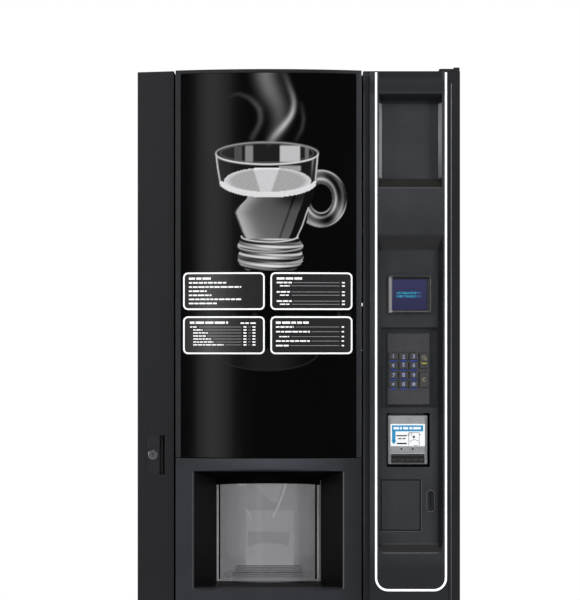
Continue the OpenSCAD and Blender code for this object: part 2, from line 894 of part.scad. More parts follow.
module money_column() {
    color("#3b3d42")
        difference() {
            union() {
                slab([column_x0, front_y, door_z0], [column_x1, front_y + skin, door_z1]);
                slab([column_x0, front_y, door_z0], [column_x0 + 3, skin_y1, door_z1]);
                slab([column_x1 - 3, front_y, door_z0], [column_x1, skin_y1, door_z1]);
                for (z = [door_z0, door_z1 - 3])
                    slab([column_x0, front_y, z], [column_x1, skin_y1, z + 3]);
                upper_recess(2.5);
                control_recess(2.5);
                pocket_shell(191, 320, 1054.5, 1239, recess_y, recess_y + 8);
                pocket_shell(295, 313.5, 815, 864, recess_y, recess_y + 6);
                pocket_shell(cup_x0, cup_x1, cup_z0, cup_z1, front_y, cup_back);
            }
            upper_recess(0);
            control_recess(0);
            // Keypad pocket, and the openings behind the keypad, the display and the validator
            slab([191, recess_y - 5, 1054.5], [320, recess_y + 8, 1239]);
            slab([208, recess_y, 1064], [299, recess_y + 20, 1222]);
            slab([212, recess_y - past, 1279], [300, recess_y + 20, 1352]);
            slab([bill_x0 - 3, recess_y - past, bill_z0 - 7], [bill_x1 + 6, recess_y + 20, bill_z1 + 6]);
            // Rounded coin recess with its slot
            for (z = [824, 855])
                rod_y(9.25, coin_x, z, recess_y - past, recess_y + 6);
            slab([coin_x - 9.25, recess_y - past, 824], [coin_x + 9.25, recess_y + 6, 855]);
            slab([coin_x - 2.2, recess_y, coin_z - 15], [coin_x + 2.2, recess_y + 20, coin_z + 15]);
            // Groove round the blanked-off card reader position
            difference() {
                slab([189, recess_y - past, 771.5], [281, recess_y + 1, 889]);
                slab([191, recess_y - 2, 773.5], [279, recess_y + 2, 887]);
            }
            // Full-height groove beside the bowed module
            slab([column_x0 + 3.5, front_y - past, door_z0 + 3], [column_x0 + 13, front_y + 2, door_z1 - 3]);
            // Change cup with the bores for the flap
            slab([cup_x0, front_y - past, cup_z0], [cup_x1, cup_back, cup_z1]);
            rod_x(2 + fit, flap_y, flap_z, cup_x0 - 3, cup_x1 + 3);
        }
}

// Pale trim line: a long U with round lower corners
trim_w = 4.6;
module trim_outline(grow) {
    x0 = 175.4 - grow;
    x1 = 340 + grow;
    z0 = 634.6 - grow;
    r = 30 + grow;
    union() {
        translate([x0, z0 + r])
            square([x1 - x0, door_z1 - 3 - z0 - r]);
        translate([x0 + r, z0])
            square([x1 - x0 - 2 * r, r + 1]);
        for (x = [x0 + r, x1 - r])
            translate([x, z0 + r])
                circle(r = r);
    }
}

module trim_line() {
    color("#e9ecf2")
        translate([0, front_y - 0.05, 0])
            rotate([90, 0, 0])
                linear_extrude(1.6)
                    difference() {
                        trim_outline(0);
                        translate([0, 0.1])
                            trim_outline(-trim_w);
                    }
}

// Message display: a flanged bezel over its body, with the screen sunk into it
module lcd_module() {
    color("#1d1f24")
        difference() {
            union() {
                slab([207, recess_y - 5, 1272.6], [305, recess_y - 0.1, 1358.5]);
                slab([212.5, recess_y - 0.2, 1279.5], [299.5, recess_y + 18, 1351.5]);
            }
            slab([215, recess_y - 6, 1279.5], [295, recess_y - 3, 1350]);
        }
}

// Keys: twelve in three columns, and two tall keys beside them; each entry is [column, z, height]
function key_pos(row, col) = [key_x0 + col * key_px, key_z0 - row * key_pz];
keys = [
    for (row = [0:2], col = [0:2]) [key_pos(row, col), key_h],
    for (col = [0:2]) [key_pos(3, col), key_h],
    [[key_x0 + 3 * key_px, key_z0 - 10], tall_h],
    [[key_x0 + 3 * key_px, key_z0 - 54], tall_h]
];

// Keypad plate with one pocket for each key
module keypad_plate() {
    color("#2f3136")
        difference() {
            union() {
                slab([205, recess_y + 4, 1061.6], [301.7, recess_y + 7.9, 1225]);
                slab([208.5, recess_y + 7, 1064.5], [298.5, recess_y + 24, 1221.5]);
            }
            for (k = keys)
                translate([k[0][0], 0, k[0][1]])
                    slab([-key_w / 2 - 0.4, recess_y, -k[1] / 2 - 0.4],
                         [key_w / 2 + 0.4, key_front + key_len + key_travel + 1, k[1] / 2 + 0.4]);
        }
}

module key(n) {
    k = keys[n];
    color("#55565c")
        translate([k[0][0], 0, k[0][1]])
            slab([-key_w / 2, key_front, -k[1] / 2], [key_w / 2, key_front + key_len, k[1] / 2]);
}

module key_1() key(0);
module key_2() key(1);
module key_3() key(2);
module key_4() key(3);
module key_5() key(4);
module key_6() key(5);
module key_7() key(6);
module key_8() key(7);
module key_9() key(8);
module key_star() key(9);
module key_0() key(10);
module key_hash() key(11);
module key_select() key(12);
module key_cancel() key(13);

// Bill validator: bright face with the note mouth, its transport body and the stacker above it
module bill_validator() {
    color("#a9adb2")
        difference() {
            union() {
                slab([bill_x0, recess_y - 4, bill_z0], [bill_x1, recess_y + 6, bill_z1]);
                slab([bill_x0 + 5, recess_y - 9, bill_z0 + 1], [bill_x1 - 5, recess_y, bill_z0 + 24]);
                slab([bill_x0 + 2, recess_y + 5, bill_z0 + 2], [bill_x1 - 2, door_back + 60, bill_z1 - 2]);
                slab([bill_x0 + 6, recess_y + 35, bill_z1 - 3], [bill_x1 - 6, door_back + 60, 1280]);
            }
            slab([bill_x0 + 6.5, recess_y - 12, bill_z0 + 8], [bill_x1 - 6.5, recess_y + 70, bill_z0 + 17]);
        }
}

// Coin changer with its chute, and the shelf that holds the coin box
module coin_mech() {
    color("#34373c") {
        slab([176, door_back + 0.2, 590], [310, door_back + 80, 880]);
        slab([coin_x - 8, recess_y + 9.5, 812], [coin_x + 5, door_back + 1, 867]);
        slab([cup_x0 + 20, cup_back + 3, 560], [cup_x1 - 20, door_back + 60, 590]);
    }
    color("#8f9396") {
        slab([160, door_back - 34, 244], [304, door_back + 88, 247]);
        slab([160, door_back - 34, 247], [304, door_back - 31, 300]);
        slab([160, door_back + 85, 247], [304, door_back + 88, 262]);
    }
}

// Change flap: hangs from two trunnions and swings inwards
module change_flap() {
    color("#2b2d31") {
        slab([cup_x0 + 1, flap_y - 1.5, cup_z0 + 18], [cup_x1 - 1, flap_y + 1.5, flap_z]);
        rod_x(3.2, flap_y, flap_z, cup_x0 + 1, cup_x1 - 1);
        rod_x(2, flap_y, flap_z, cup_x0 - 2, cup_x1 + 2);
    }
}

// Coin box: an open steel tray
module coin_box() {
    box_z = 247.3;
    color("#9a9ea3")
        difference() {
            slab([166, door_back - 28, box_z], [298, door_back + 82, box_z + 150]);
            slab([168, door_back - 26, box_z + 2], [296, door_back + 80, box_z + 160]);
        }
}

// Lock cylinder with its spindle and cam
module lock_cylinder() {
    color("#cfd2d6") {
        difference() {
            rod_y(lock_r, lock_x, lock_z, front_y + 7.5, front_y + 43);
            slab([lock_x - 1, front_y, lock_z - 4], [lock_x + 1, front_y + 12, lock_z + 4]);
        }
        rod_y(4, lock_x, lock_z, front_y + 42, front_y + 66);
        rod_y(13, lock_x, lock_z, front_y + 63, front_y + 66);
    }
}

// Latch bar: a flat bar with three hooks; when it slides down, each catches behind its strike plate
module latch_bar() {
    bar_y = front_y + 53;
    color("#9fa3a8") {
        slab([latch_x0, bar_y, hook_z[0] - 120], [latch_x1, bar_y + 6, hook_z[2] + 120]);
        for (z = hook_z) {
            slab([latch_x0 + 6, bar_y + 5, z], [latch_x0 + 12, cab_front + 20, z + 10]);
            slab([latch_x0 + 6, cab_front + 10, z - 13], [latch_x0 + 12, cab_front + 20, z + 1]);
        }
    }
}

base_frame();
levelling_feet();
left_side_panel();
right_side_panel();
rear_panel();
top_panel();
interior_shelves();
hinge_brackets();
water_tank();
brewer_housing();
mixing_bowls();
drive_motors();
control_box();
inlet_fittings();
dispense_nozzles();
brewer_piston();
canister_1();
canister_2();
canister_3();
auger_1();
auger_2();
auger_3();
canister_cover();
whipper_1();
whipper_2();
cup_turret();
waste_bucket();
door_frame();
left_pillar();
centre_frame();
display_panel();
station_bezel();
cup_chamber();
window_guides();
money_column();
trim_line();
lcd_module();
keypad_plate();
bill_validator();
coin_mech();
cup_window();
drip_grille();
change_flap();
coin_box();
lock_cylinder();
latch_bar();
key_1();
key_2();
key_3();
key_4();
key_5();
key_6();
key_7();
key_8();
key_9();
key_star();
key_0();
key_hash();
key_select();
key_cancel();
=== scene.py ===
import math
import random

import bmesh
import bpy
import numpy as np
from mathutils import Matrix, Vector


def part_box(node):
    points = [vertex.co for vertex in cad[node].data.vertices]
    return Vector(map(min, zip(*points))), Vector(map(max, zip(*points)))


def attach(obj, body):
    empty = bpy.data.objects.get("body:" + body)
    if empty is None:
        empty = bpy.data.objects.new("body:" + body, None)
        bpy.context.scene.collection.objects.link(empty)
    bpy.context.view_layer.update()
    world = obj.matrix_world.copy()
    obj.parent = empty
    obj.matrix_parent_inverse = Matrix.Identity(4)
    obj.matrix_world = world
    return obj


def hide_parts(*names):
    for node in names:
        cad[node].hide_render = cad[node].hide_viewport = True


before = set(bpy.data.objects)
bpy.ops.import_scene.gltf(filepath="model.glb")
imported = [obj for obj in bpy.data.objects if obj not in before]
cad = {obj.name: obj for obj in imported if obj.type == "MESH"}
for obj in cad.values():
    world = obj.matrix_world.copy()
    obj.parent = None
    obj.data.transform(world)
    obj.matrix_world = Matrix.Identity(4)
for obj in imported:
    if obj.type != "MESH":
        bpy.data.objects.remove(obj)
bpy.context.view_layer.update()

# ---------------------------------------------------------------- room, camera and lamps
# A pale studio: the camera stands in front of the door at chest height, and looks straight back
# with a little lens shift, so that upright edges stay upright.
front_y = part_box("money_column")[0].y
mm = 0.001
picture_h = 1.3746
camera_back = 4.2
camera_shift = 0.06
centre_z = 1.3017
scene = bpy.context.scene
scene.view_settings.view_transform = "Standard"
camera = bpy.data.objects.new("camera", bpy.data.cameras.new("camera"))
camera.data.sensor_width = 36
camera.data.lens = 36 * camera_back / picture_h
camera.data.shift_y = camera_shift
camera.location = (-0.0195, front_y - camera_back, centre_z - camera_shift * picture_h)
camera.rotation_euler = (math.radians(90), 0, 0)
scene.collection.objects.link(camera)
scene.camera = camera

world = bpy.data.worlds.new("studio")
scene.world = world
world.use_nodes = True
sky = world.node_tree
sky.nodes.clear()
seen = sky.nodes.new("ShaderNodeBackground")
seen.inputs["Color"].default_value = (1, 1, 1, 1)
seen.inputs["Strength"].default_value = 1.0
fill = sky.nodes.new("ShaderNodeBackground")
fill.inputs["Color"].default_value = (0.88, 0.92, 1.0, 1)
fill.inputs["Strength"].default_value = 0.10
path = sky.nodes.new("ShaderNodeLightPath")
choose = sky.nodes.new("ShaderNodeMixShader")
out = sky.nodes.new("ShaderNodeOutputWorld")
sky.links.new(path.outputs["Is Camera Ray"], choose.inputs[0])
sky.links.new(fill.outputs[0], choose.inputs[1])
sky.links.new(seen.outputs[0], choose.inputs[2])
sky.links.new(choose.outputs[0], out.inputs["Surface"])


def softbox(name, place, target, size, power, tint=(1, 1, 1)):
    """A rectangular studio lamp at place that faces target."""
    lamp = bpy.data.lights.new(name, "AREA")
    lamp.shape = "RECTANGLE"
    lamp.size, lamp.size_y = size
    lamp.energy = power
    lamp.color = tint
    holder = bpy.data.objects.new(name, lamp)
    holder.location = place
    holder.rotation_euler = (Vector(target) - Vector(place)).to_track_quat("-Z", "Y").to_euler()
    scene.collection.objects.link(holder)


softbox("band_left", (-1.32, -4.0, 1.35), (-0.19, -0.39, 1.35), (0.8, 3.4), 6)
softbox("key_left", (-3.4, -2.6, 2.3), (0, -0.3, 1.1), (1.0, 2.2), 48)
softbox("key_right", (3.3, -3.0, 2.3), (0.1, -0.3, 1.0), (1.2, 2.2), 66, (0.95, 0.97, 1))
softbox("top_fill", (0.2, -2.6, 4.4), (0, 0, 1.0), (3.0, 1.4), 48)
softbox("back_fill", (-1.5, 4.0, 1.1), (0, 0, 0.9), (2.5, 1.6), 80)
softbox("side_fill", (4.2, 1.4, 2.4), (0, 0.2, 0.9), (1.6, 2.2), 45)
softbox("far_side_fill", (-4.2, 1.4, 2.4), (0, 0.2, 0.9), (1.6, 2.2), 45)


# ---------------------------------------------------------------- cabinet shell
# The welded cabinet is folded steel sheet with a fine textured black powder coat; the rear sheet is
# left galvanised. The sides and top are spot welded to the floor plate, and the rear is screwed on.
class Wire:
    """One output of a shader node; sums and products of wires add Math nodes."""

    def __init__(self, finish, socket):
        self.finish = finish
        self.socket = socket

    def math(self, operation, *values, clamp=False):
        """A Math node with this wire first."""
        settings = {"operation": operation, "use_clamp": clamp}
        return self.finish.node("ShaderNodeMath", settings, dict(enumerate([self, *values])))

    def __add__(self, other):
        return self.math("ADD", other)

    def __mul__(self, other):
        return self.math("MULTIPLY", other)

    def __sub__(self, other):
        return self.math("SUBTRACT", other)

    def __rsub__(self, other):
        return (self * -1) + other

    __radd__ = __add__
    __rmul__ = __mul__

    def between(self, low, high, start=0.0, end=1.0):
        """This wire mapped from low..high to start..end, and held inside it."""
        sockets = {0: self, 1: low, 2: high, 3: start, 4: end}
        return self.finish.node("ShaderNodeMapRange", {"clamp": True}, sockets)


class Finish:
    """A material with one Principled shader; fixed values go straight onto its sockets."""

    def __init__(self, name, colour, roughness, **fixed):
        self.material = bpy.data.materials.new(name)
        self.material.use_nodes = True
        self.tree = self.material.node_tree
        self.shader = self.tree.nodes["Principled BSDF"]
        self.set("Base Color", (*colour, 1))
        self.set("Roughness", roughness)
        for label, value in fixed.items():
            self.set(label.replace("_", " "), value)
        self.place = self.node("ShaderNodeTexCoord", {}, {}, out="Object")

    def set(self, label, value):
        """A fixed value, or a wire, for one socket of the shader."""
        self._put(self.shader.inputs[label], value)
        return self

    def _put(self, socket, value):
        if isinstance(value, Wire):
            self.tree.links.new(value.socket, socket)
        else:
            socket.default_value = value

    def node(self, kind, settings, sockets, out=0):
        """Adds any node: its settings first, then the values or wires of its sockets."""
        made = self.tree.nodes.new(kind)
        for label, value in settings.items():
            if label == "stops":
                ramp = made.color_ramp.elements
                while len(ramp) < len(value):
                    ramp.new(1)
                for stop, (position, shade) in zip(ramp, value):
                    stop.position = position
                    stop.color = shade
            else:
                setattr(made, label, value)
        for label, value in sockets.items():
            self._put(made.inputs[label], value)
        return Wire(self, made.outputs[out])

    def noise(self, scale, detail=2.0, rough=0.5, place=None):
        """Cloudy noise, 0 to 1; scale is in waves for each metre."""
        sockets = {"Vector": place or self.place, "Scale": scale, "Detail": detail, "Roughness": rough}
        return self.node("ShaderNodeTexNoise", {}, sockets)

    def stretched(self, factors):
        """The place with each axis multiplied, for grain that runs one way."""
        sockets = {0: self.place, 1: factors}
        return self.node("ShaderNodeVectorMath", {"operation": "MULTIPLY"}, sockets)

    def blend(self, factor, first, second):
        """Two colours mixed."""
        sockets = {0: factor, 6: first, 7: second}
        return self.node("ShaderNodeMix", {"data_type": "RGBA"}, sockets, out=2)

    def bump(self, height, depth, strength=1.0):
        """Raises the surface by height times depth, in metres."""
        sockets = {"Height": height, "Distance": depth, "Strength": strength}
        self.set("Normal", self.node("ShaderNodeBump", {}, sockets))
        return self


def shade(colour, factor):
    """A colour made lighter or darker, with alpha."""
    return (*[min(1, c * factor) for c in colour], 1)


def powder_coat(name, colour, grain=520, depth=0.00028, roughness=0.52):
    """Textured powder coat: a pebbled skin, lighter on the pebble tops and darker in the hollows between
    them.
    """
    f = Finish(name, colour, roughness, **{"Specular_IOR_Level": 0.34})
    pebble = f.noise(grain, 3, 0.55)
    cloud = f.noise(3.1, 4, 0.6)
    tone = (pebble * 0.75 + cloud * 0.25).between(0.35, 0.65)
    f.set("Base Color", f.blend(tone, shade(colour, 0.62), shade(colour, 1.5)))
    f.set("Roughness", (cloud * 0.14) + (pebble * 0.16) + (roughness - 0.15))
    return f.bump(pebble, depth).material


def sheet_steel(name, colour, roughness=0.38, across=(1, 1, 30)):
    """Zinc plated or brushed sheet: fine scratches one way, and a soft spangle."""
    f = Finish(name, colour, roughness, Metallic=0.9)
    scratch = f.noise(160, 3, 0.6, f.stretched(across))
    spangle = f.node("ShaderNodeTexVoronoi", {}, {"Vector": f.place, "Scale": 55})
    cloud = f.noise(6, 3, 0.5)
    tone = scratch * 0.5 + spangle * 0.25 + cloud * 0.25
    f.set("Base Color", f.blend(tone.between(0.2, 0.75), shade(colour, 0.72), shade(colour, 1.25)))
    f.set("Roughness", scratch * 0.2 + cloud * 0.15 + (roughness - 0.17))
    return f.bump(scratch, 0.00005).material


def paint(name, material, edge=0):
    """Gives a CAD node one finish, and rounds its edges by this width."""
    for held in cad[name].material_slots:
        held.material = material
    if not cad[name].material_slots:
        cad[name].data.materials.append(material)
    if edge:
        soften(name, edge)


def soften(name, width, angle=32):
    """Rounds the sharp edges of a CAD node, as a fold, a mould or a deburring tool leaves them."""
    node = cad[name]
    weld = node.modifiers.new("weld", "WELD")
    weld.merge_threshold = 0.00001
    bevel = node.modifiers.new("edge", "BEVEL")
    bevel.width = width
    bevel.segments = 2
    bevel.limit_method = "ANGLE"
    bevel.angle_limit = math.radians(angle)
    bevel.harden_normals = False
    node.modifiers.new("normals", "WEIGHTED_NORMAL").keep_sharp = True


cabinet_black = powder_coat("cabinet_black", (0.016, 0.017, 0.020))
galvanised = sheet_steel("galvanised", (0.34, 0.35, 0.36), 0.45)
zinc = sheet_steel("zinc_plate", (0.5, 0.51, 0.52), 0.36, (30, 1, 1))
for name in ("left_side_panel", "right_side_panel", "top_panel", "base_frame"):
    paint(name, cabinet_black, 0.0008)
paint("rear_panel", galvanised)
paint("interior_shelves", zinc)
paint("hinge_brackets", cabinet_black, 0.0012)


def finish_mesh(name, shape, material, body, bevel=0.0, smooth=True):
    """Turns a bmesh into a piece that rides on a body."""
    bmesh.ops.recalc_face_normals(shape, faces=shape.faces)
    data = bpy.data.meshes.new(name)
    shape.to_mesh(data)
    shape.free()
    data.materials.append(material)
    piece = bpy.data.objects.new(name, data)
    scene.collection.objects.link(piece)
    if bevel:
        edge = piece.modifiers.new("edge", "BEVEL")
        edge.width = bevel
        edge.segments = 2
        edge.limit_method = "ANGLE"
        edge.angle_limit = math.radians(32)
    if smooth:
        data.shade_smooth()
        data.set_sharp_from_angle(angle=math.radians(34))
    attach(piece, body)
    return piece


def block(shape, lo, hi):
    """Adds a closed box between two corners to a bmesh."""
    lo, hi = Vector(lo), Vector(hi)
    made = bmesh.ops.create_cube(shape, size=1)["verts"]
    for v in made:
        v.co = Vector((lo[i] + (hi[i] - lo[i]) * (v.co[i] + 0.5)) for i in range(3))
    return made


def closed_prism(shape, front, rear):
    """Adds a closed solid between two outlines with the same number of points."""
    front = [shape.verts.new(point) for point in front]
    rear = [shape.verts.new(point) for point in rear]
    shape.faces.new(front)
    shape.faces.new(rear[::-1])
    for k in range(len(front)):
        j = (k + 1) % len(front)
        shape.faces.new((front[k], rear[k], rear[j], front[j]))


def turned(shape, profile, place, axis="Z", sides=32):
    """Adds a lathe-turned solid: profile is (radius, height) pairs from one end to the other."""
    turn = {"Z": Matrix(), "Y": Matrix.Rotation(math.radians(-90), 4, "X"),
            "-Y": Matrix.Rotation(math.radians(90), 4, "X"),
            "X": Matrix.Rotation(math.radians(90), 4, "Y")}[axis]
    rings = []
    for radius, height in profile:
        ring = []
        for k in range(sides):
            a = 2 * math.pi * k / sides
            point = turn @ Vector((radius * math.cos(a), radius * math.sin(a), height))
            ring.append(shape.verts.new(Vector(place) + point))
        rings.append(ring)
    for low, high in zip(rings, rings[1:]):
        for k in range(sides):
            shape.faces.new((low[k], low[(k + 1) % sides], high[(k + 1) % sides], high[k]))
    shape.faces.new(rings[0][::-1])
    shape.faces.new(rings[-1])


def screw_heads(name, places, axis, radius, body, material):
    """Pan-head screws with a shallow round recess, one at each place, pointing along axis."""
    shape = bmesh.new()
    for place in places:
        turned(shape, [(radius, 0), (radius, radius * 0.22), (radius * 0.8, radius * 0.5),
                       (radius * 0.45, radius * 0.6), (radius * 0.3, radius * 0.3)], place, axis, 20)
    return finish_mesh(name, shape, material, body)


bright_screw = sheet_steel("screw_zinc", (0.62, 0.63, 0.64), 0.28, (8, 8, 8))
rear_lo, rear_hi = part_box("rear_panel")
rear_screws = [(x, rear_hi.y - 0.0002, z) for x in (rear_lo.x + 0.018, rear_hi.x - 0.018)
               for z in np.linspace(rear_lo.z + 0.05, rear_hi.z - 0.05, 8)]
screw_heads("rear_screws", rear_screws, "Y", 0.0055, "cabinet", bright_screw)


# ---------------------------------------------------------------- door skin and pillars
# The door is a steel tray behind injection-moulded fascia columns. The left pillar is folded steel
# with the cabinet's powder coat; the money column and the narrow centre strips are moulded ABS.
def moulded(name, colour, roughness=0.42, grain=1500, depth=0.00004, mottle=0.12):
    """Injection-moulded plastic: an etched fine grain and slow changes of tone from handling."""
    f = Finish(name, colour, roughness, **{"Specular_IOR_Level": 0.5})
    etched = f.noise(grain, 2, 0.5)
    cloud = f.noise(9, 4, 0.6)
    tone = etched * 0.35 + cloud * 0.65
    f.set("Base Color", f.blend(tone.between(0.35, 0.65), shade(colour, 1 - mottle),
                                shade(colour, 1 + mottle)))
    f.set("Roughness", etched * 0.08 + cloud * 0.16 + (roughness - 0.12))
    return f.bump(etched, depth).material


def fixed(material, label, value):
    """Sets one fixed value on a material's shader."""
    material.node_tree.nodes["Principled BSDF"].inputs[label].default_value = value


def self_lit(material, strength):
    """A weak white glow: on print over the lit pane it is the backlight, on other parts it is painted
    light.
    """
    fixed(material, "Emission Color", (1, 1, 1, 1))
    fixed(material, "Emission Strength", strength)


door_black = powder_coat("door_black", (0.0115, 0.0118, 0.0138), 760, 0.00016)
strip_black = moulded("strip_black", (0.020, 0.021, 0.024), 0.34)
paint("door_frame", door_black)
paint("left_pillar", door_black)
paint("centre_frame", strip_black)
for name, width in (("left_pillar", 0.0009), ("centre_frame", 0.0006), ("money_column", 0.0007)):
    soften(name, width)


# ---------------------------------------------------------------- display pane
# The tall pane is one sheet of acrylic bowed into grooves in the centre strips. A black film printed
# with a glass of coffee and its steam is laminated behind its gloss face and lit from behind.
bow_axis = Vector((-0.0685, front_y + 0.9178))
pane_lo, pane_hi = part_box("display_panel")
pane_r = 0.9513


def bow_y(x, radius):
    """Depth of a bowed face at x, for a face of this radius about the bow's axis."""
    return bow_axis.y - np.sqrt(radius ** 2 - (x - bow_axis.x) ** 2)


def soft(value, low, high):
    """0 below low, 1 above high, and an S-curve between them."""
    t = np.clip((value - low) / (high - low), 0, 1)
    return t * t * (3 - 2 * t)


def stroke(x, z, points, widths, glow):
    """Brightness of a tapering brush stroke through points; widths and glow are per point."""
    best = np.zeros_like(x)
    t = np.linspace(0, 1, len(points))
    fine = np.linspace(0, 1, 60)
    px, pz, pw, pg = (np.interp(fine, t, column) for column in
                      (*zip(*points), widths, glow))
    kernel = np.ones(9) / 9
    for track in (px, pz):
        ends = np.concatenate([np.full(4, track[0]), track, np.full(4, track[-1])])
        track[:] = np.convolve(ends, kernel, "valid")
    for k in range(len(fine)):
        reach = np.hypot(x - px[k], z - pz[k]) / pw[k]
        best = np.maximum(best, pg[k] * np.exp(-reach ** 2))
    return best


def ring(x, z, centre, radii, width):
    """An ellipse drawn with a soft line; also gives the ellipse's own measure, 1 on the line."""
    u = (x - centre[0]) / radii[0]
    v = (z - centre[1]) / radii[1]
    reach = np.sqrt(u * u + v * v) + 1e-9
    slope = np.sqrt((u / radii[0]) ** 2 + (v / radii[1]) ** 2) / reach + 1e-9
    away = np.abs(reach - 1) / slope
    return np.exp(-(away / width) ** 2), reach


def wall(z, heights, reaches):
    """Half-width or edge position of the glass at height z."""
    return np.interp(z, heights, reaches)


def printed_glass(x, z):
    """Grey level, 0 to 1 as seen, of the printed picture at x, z in millimetres, with a painted lamp
    reflection down its left.
    """
    level = np.zeros_like(x)
    # Steam: one broad veil, a bright curl, a loop on the left and a faint trace on the right
    veil = stroke(x, z, [(-62, 1845), (-78, 1815), (-66, 1780), (-45, 1740), (-42, 1705), (-58, 1665)],
                  [26, 30, 30, 27, 24, 20], [0.36, 0.42, 0.40, 0.33, 0.28, 0.20])
    curl = stroke(x, z, [(-38, 1835), (-22, 1790), (-9, 1755), (-14, 1722), (-36, 1694), (-60, 1668),
                         (-76, 1640)],
                  [9, 8, 7, 7, 8, 9, 10], [0.10, 0.26, 0.46, 0.66, 0.62, 0.36, 0.16])
    loop = stroke(x, z, [(-172, 1755), (-140, 1772), (-110, 1760), (-88, 1735), (-86, 1705), (-108, 1665)],
                  [8, 7, 7, 8, 8, 9], [0.06, 0.17, 0.20, 0.25, 0.25, 0.20])
    trace = stroke(x, z, [(6, 1750), (12, 1715), (8, 1690), (-6, 1664)], [7, 6, 6, 7],
                   [0.10, 0.20, 0.20, 0.12])
    level = 1 - (1 - veil) * (1 - curl) * (1 - loop) * (1 - trace)
    # Handle: a bent glass rod, dark at its heart with bright edges
    _, hole = ring(x, z, (51, 1533), (26, 33), 2)
    _, rod = ring(x, z, (51, 1532), (59, 65), 2)
    inside_rod = (rod < 1) & (hole > 1) & (x > 20)
    across = np.clip((hole - 1) / 1.1, 0, 1)
    tone = 0.18 + 0.30 * np.exp(-((across - 0.85) / 0.16) ** 2)
    tone = tone + 0.42 * np.exp(-((across - 0.30) / 0.10) ** 2)
    tone += 0.16 * np.sin(x * 0.09 + z * 0.05)
    level = np.where(inside_rod, np.clip(tone, 0.05, 0.9), level)
    for centre, radii, glow in (((51, 1533), (27, 34), 0.75), ((51, 1532), (58, 64), 0.85)):
        line, _ = ring(x, z, centre, radii, 1.9)
        level = np.where(x > 18, np.maximum(level, line * glow * (0.55 + 0.45 * np.sin(z * 0.06))), level)
    # Glass wall from the rim down to the waist
    heights = [1366, 1375, 1388, 1400, 1412, 1424, 1436, 1444, 1470, 1500, 1530, 1556, 1600, 1634]
    left = [-112, -128, -137, -139, -134, -139, -134, -131, -140, -150, -166, -178, -186, -190]
    right = [-16, -2, 9, 11, 6, 11, 4, -2, 10, 20, 31, 39, 43, 46]
    x0 = wall(z, heights, left)
    x1 = wall(z, heights, right)
    in_glass = (x > x0) & (x < x1) & (z < 1634) & (z > 1368)
    edge = np.minimum(x - x0, x1 - x)
    glass = 0.10 + 0.10 * np.exp(-edge / 9) + 0.7 * np.exp(-((edge - 2.2) / 1.7) ** 2) * soft(z, 1440, 1600)
    glass += 0.35 * np.exp(-((x1 - x - 12) / 2.4) ** 2) * soft(z, 1560, 1620)
    level = np.where(in_glass & (z > 1440), glass, level)
    # Back wall of the glass seen through the mouth, with window-shaped lights
    _, mouth = ring(x, z, (-72, 1634.5), (118, 26), 2)
    inner = 0.13
    for low, high, glow in ((-147, -128, 0.30), (-122, -103, 0.52), (-43, 4, 0.74), (14, 24, 0.42)):
        patch = soft(x, low - 2, low + 2) * (1 - soft(x, high - 2, high + 2))
        inner = np.maximum(inner, glow * patch * soft(z, 1606, 1618) * (1 - soft(z, 1650, 1656)))
    level = np.where(mouth < 0.95, np.maximum(inner, 0.6 * level * (z > 1634)), level)
    lower_patch = soft(x, -47, -43) * (1 - soft(x, 4, 7)) * soft(z, 1590, 1596) * (1 - soft(z, 1604, 1610))
    level = np.where(in_glass, np.maximum(level, lower_patch * 0.6), level)
    # Foam: a mottled disc with a pale edge, and the pale band where it meets the front of the glass
    grain = 0.03 * np.sin(x * 0.7 + 2.1 * np.sin(z * 0.33)) * np.sin(z * 0.9 + 1.7 * np.sin(x * 0.21))
    _, foam = ring(x, z, (-70.5, 1572), (99, 30), 2)
    wedge = soft(x + (z - 1600) * 0.30, -105, -101) * (1 - soft(x - (z - 1600) * 0.34, -46, -42))
    disc = 0.64 + 0.15 * wedge + 0.16 * soft(foam, 0.80, 0.97) + grain
    level = np.where(foam < 1, disc, level)
    _, band_low = ring(x, z, (-69, 1570), (111, 36), 2)
    _, band_high = ring(x, z, (-69, 1581), (108, 34), 2)
    band = (band_low < 1) & (band_high > 1) & (z < 1572) & in_glass
    level = np.where(band, 0.86 + grain, level)
    # Coffee below the foam, lit from the left, between the dark bends of the glass
    below = (band_low >= 1) & (z < 1560) & (z > 1437)
    c0 = wall(z, [1437, 1460, 1500, 1516, 1534, 1560], [-116, -127, -142, -133, -116, -112])
    c1 = wall(z, [1437, 1460, 1494, 1530, 1560], [-24, -14, -3, 12, 14])
    lit = 0.36 + 0.25 * np.exp(-((x - c0) / 26) ** 2) + 0.05 * np.sin((x + z) * 0.02)
    lit -= 0.20 * soft(z, 1500, 1538) * soft(x, -70, -10)
    lit -= 0.14 * np.exp(-((x + 12 - (1530 - z) * -0.35) / 2.5) ** 2)
    coffee = below & (x > c0) & (x < c1)
    level = np.where(below & in_glass & ~coffee, 0.07, level)
    level = np.where(coffee, lit, level)
    for edges, glow in ((c0, 0.42), (x1, 0.85)):
        line = np.exp(-((x - edges + 1.5) / 1.9) ** 2)
        level = np.where(below & in_glass, np.maximum(level, glow * line * (z < 1512)), level)
    # Foot: three stacked glass rings
    in_foot = in_glass & (z <= 1440)
    bulge = 1 - np.abs((x - (x0 + x1) / 2) / ((x1 - x0) / 2 + 1e-6)) ** 2
    height = z + 9 * np.sqrt(np.clip(bulge, 0, 1))
    foot = 0.34 + 0.30 * np.sin(height * 0.30) + 0.20 * np.sin(height * 0.71 + x * 0.05)
    foot += 0.20 * np.exp(-((x + 64) / 34) ** 2)
    level = np.where(in_foot, np.clip(foot, 0.05, 0.88), level)
    for centre, radii, glow in (((-66, 1446), (64, 13), 0.9), ((-64, 1424), (74, 14), 0.75),
                                ((-64, 1398), (75, 15), 0.70)):
        line, _ = ring(x, z, centre, radii, 1.9)
        level = np.maximum(level, line * glow * (z < centre[1] + 1) * in_glass)
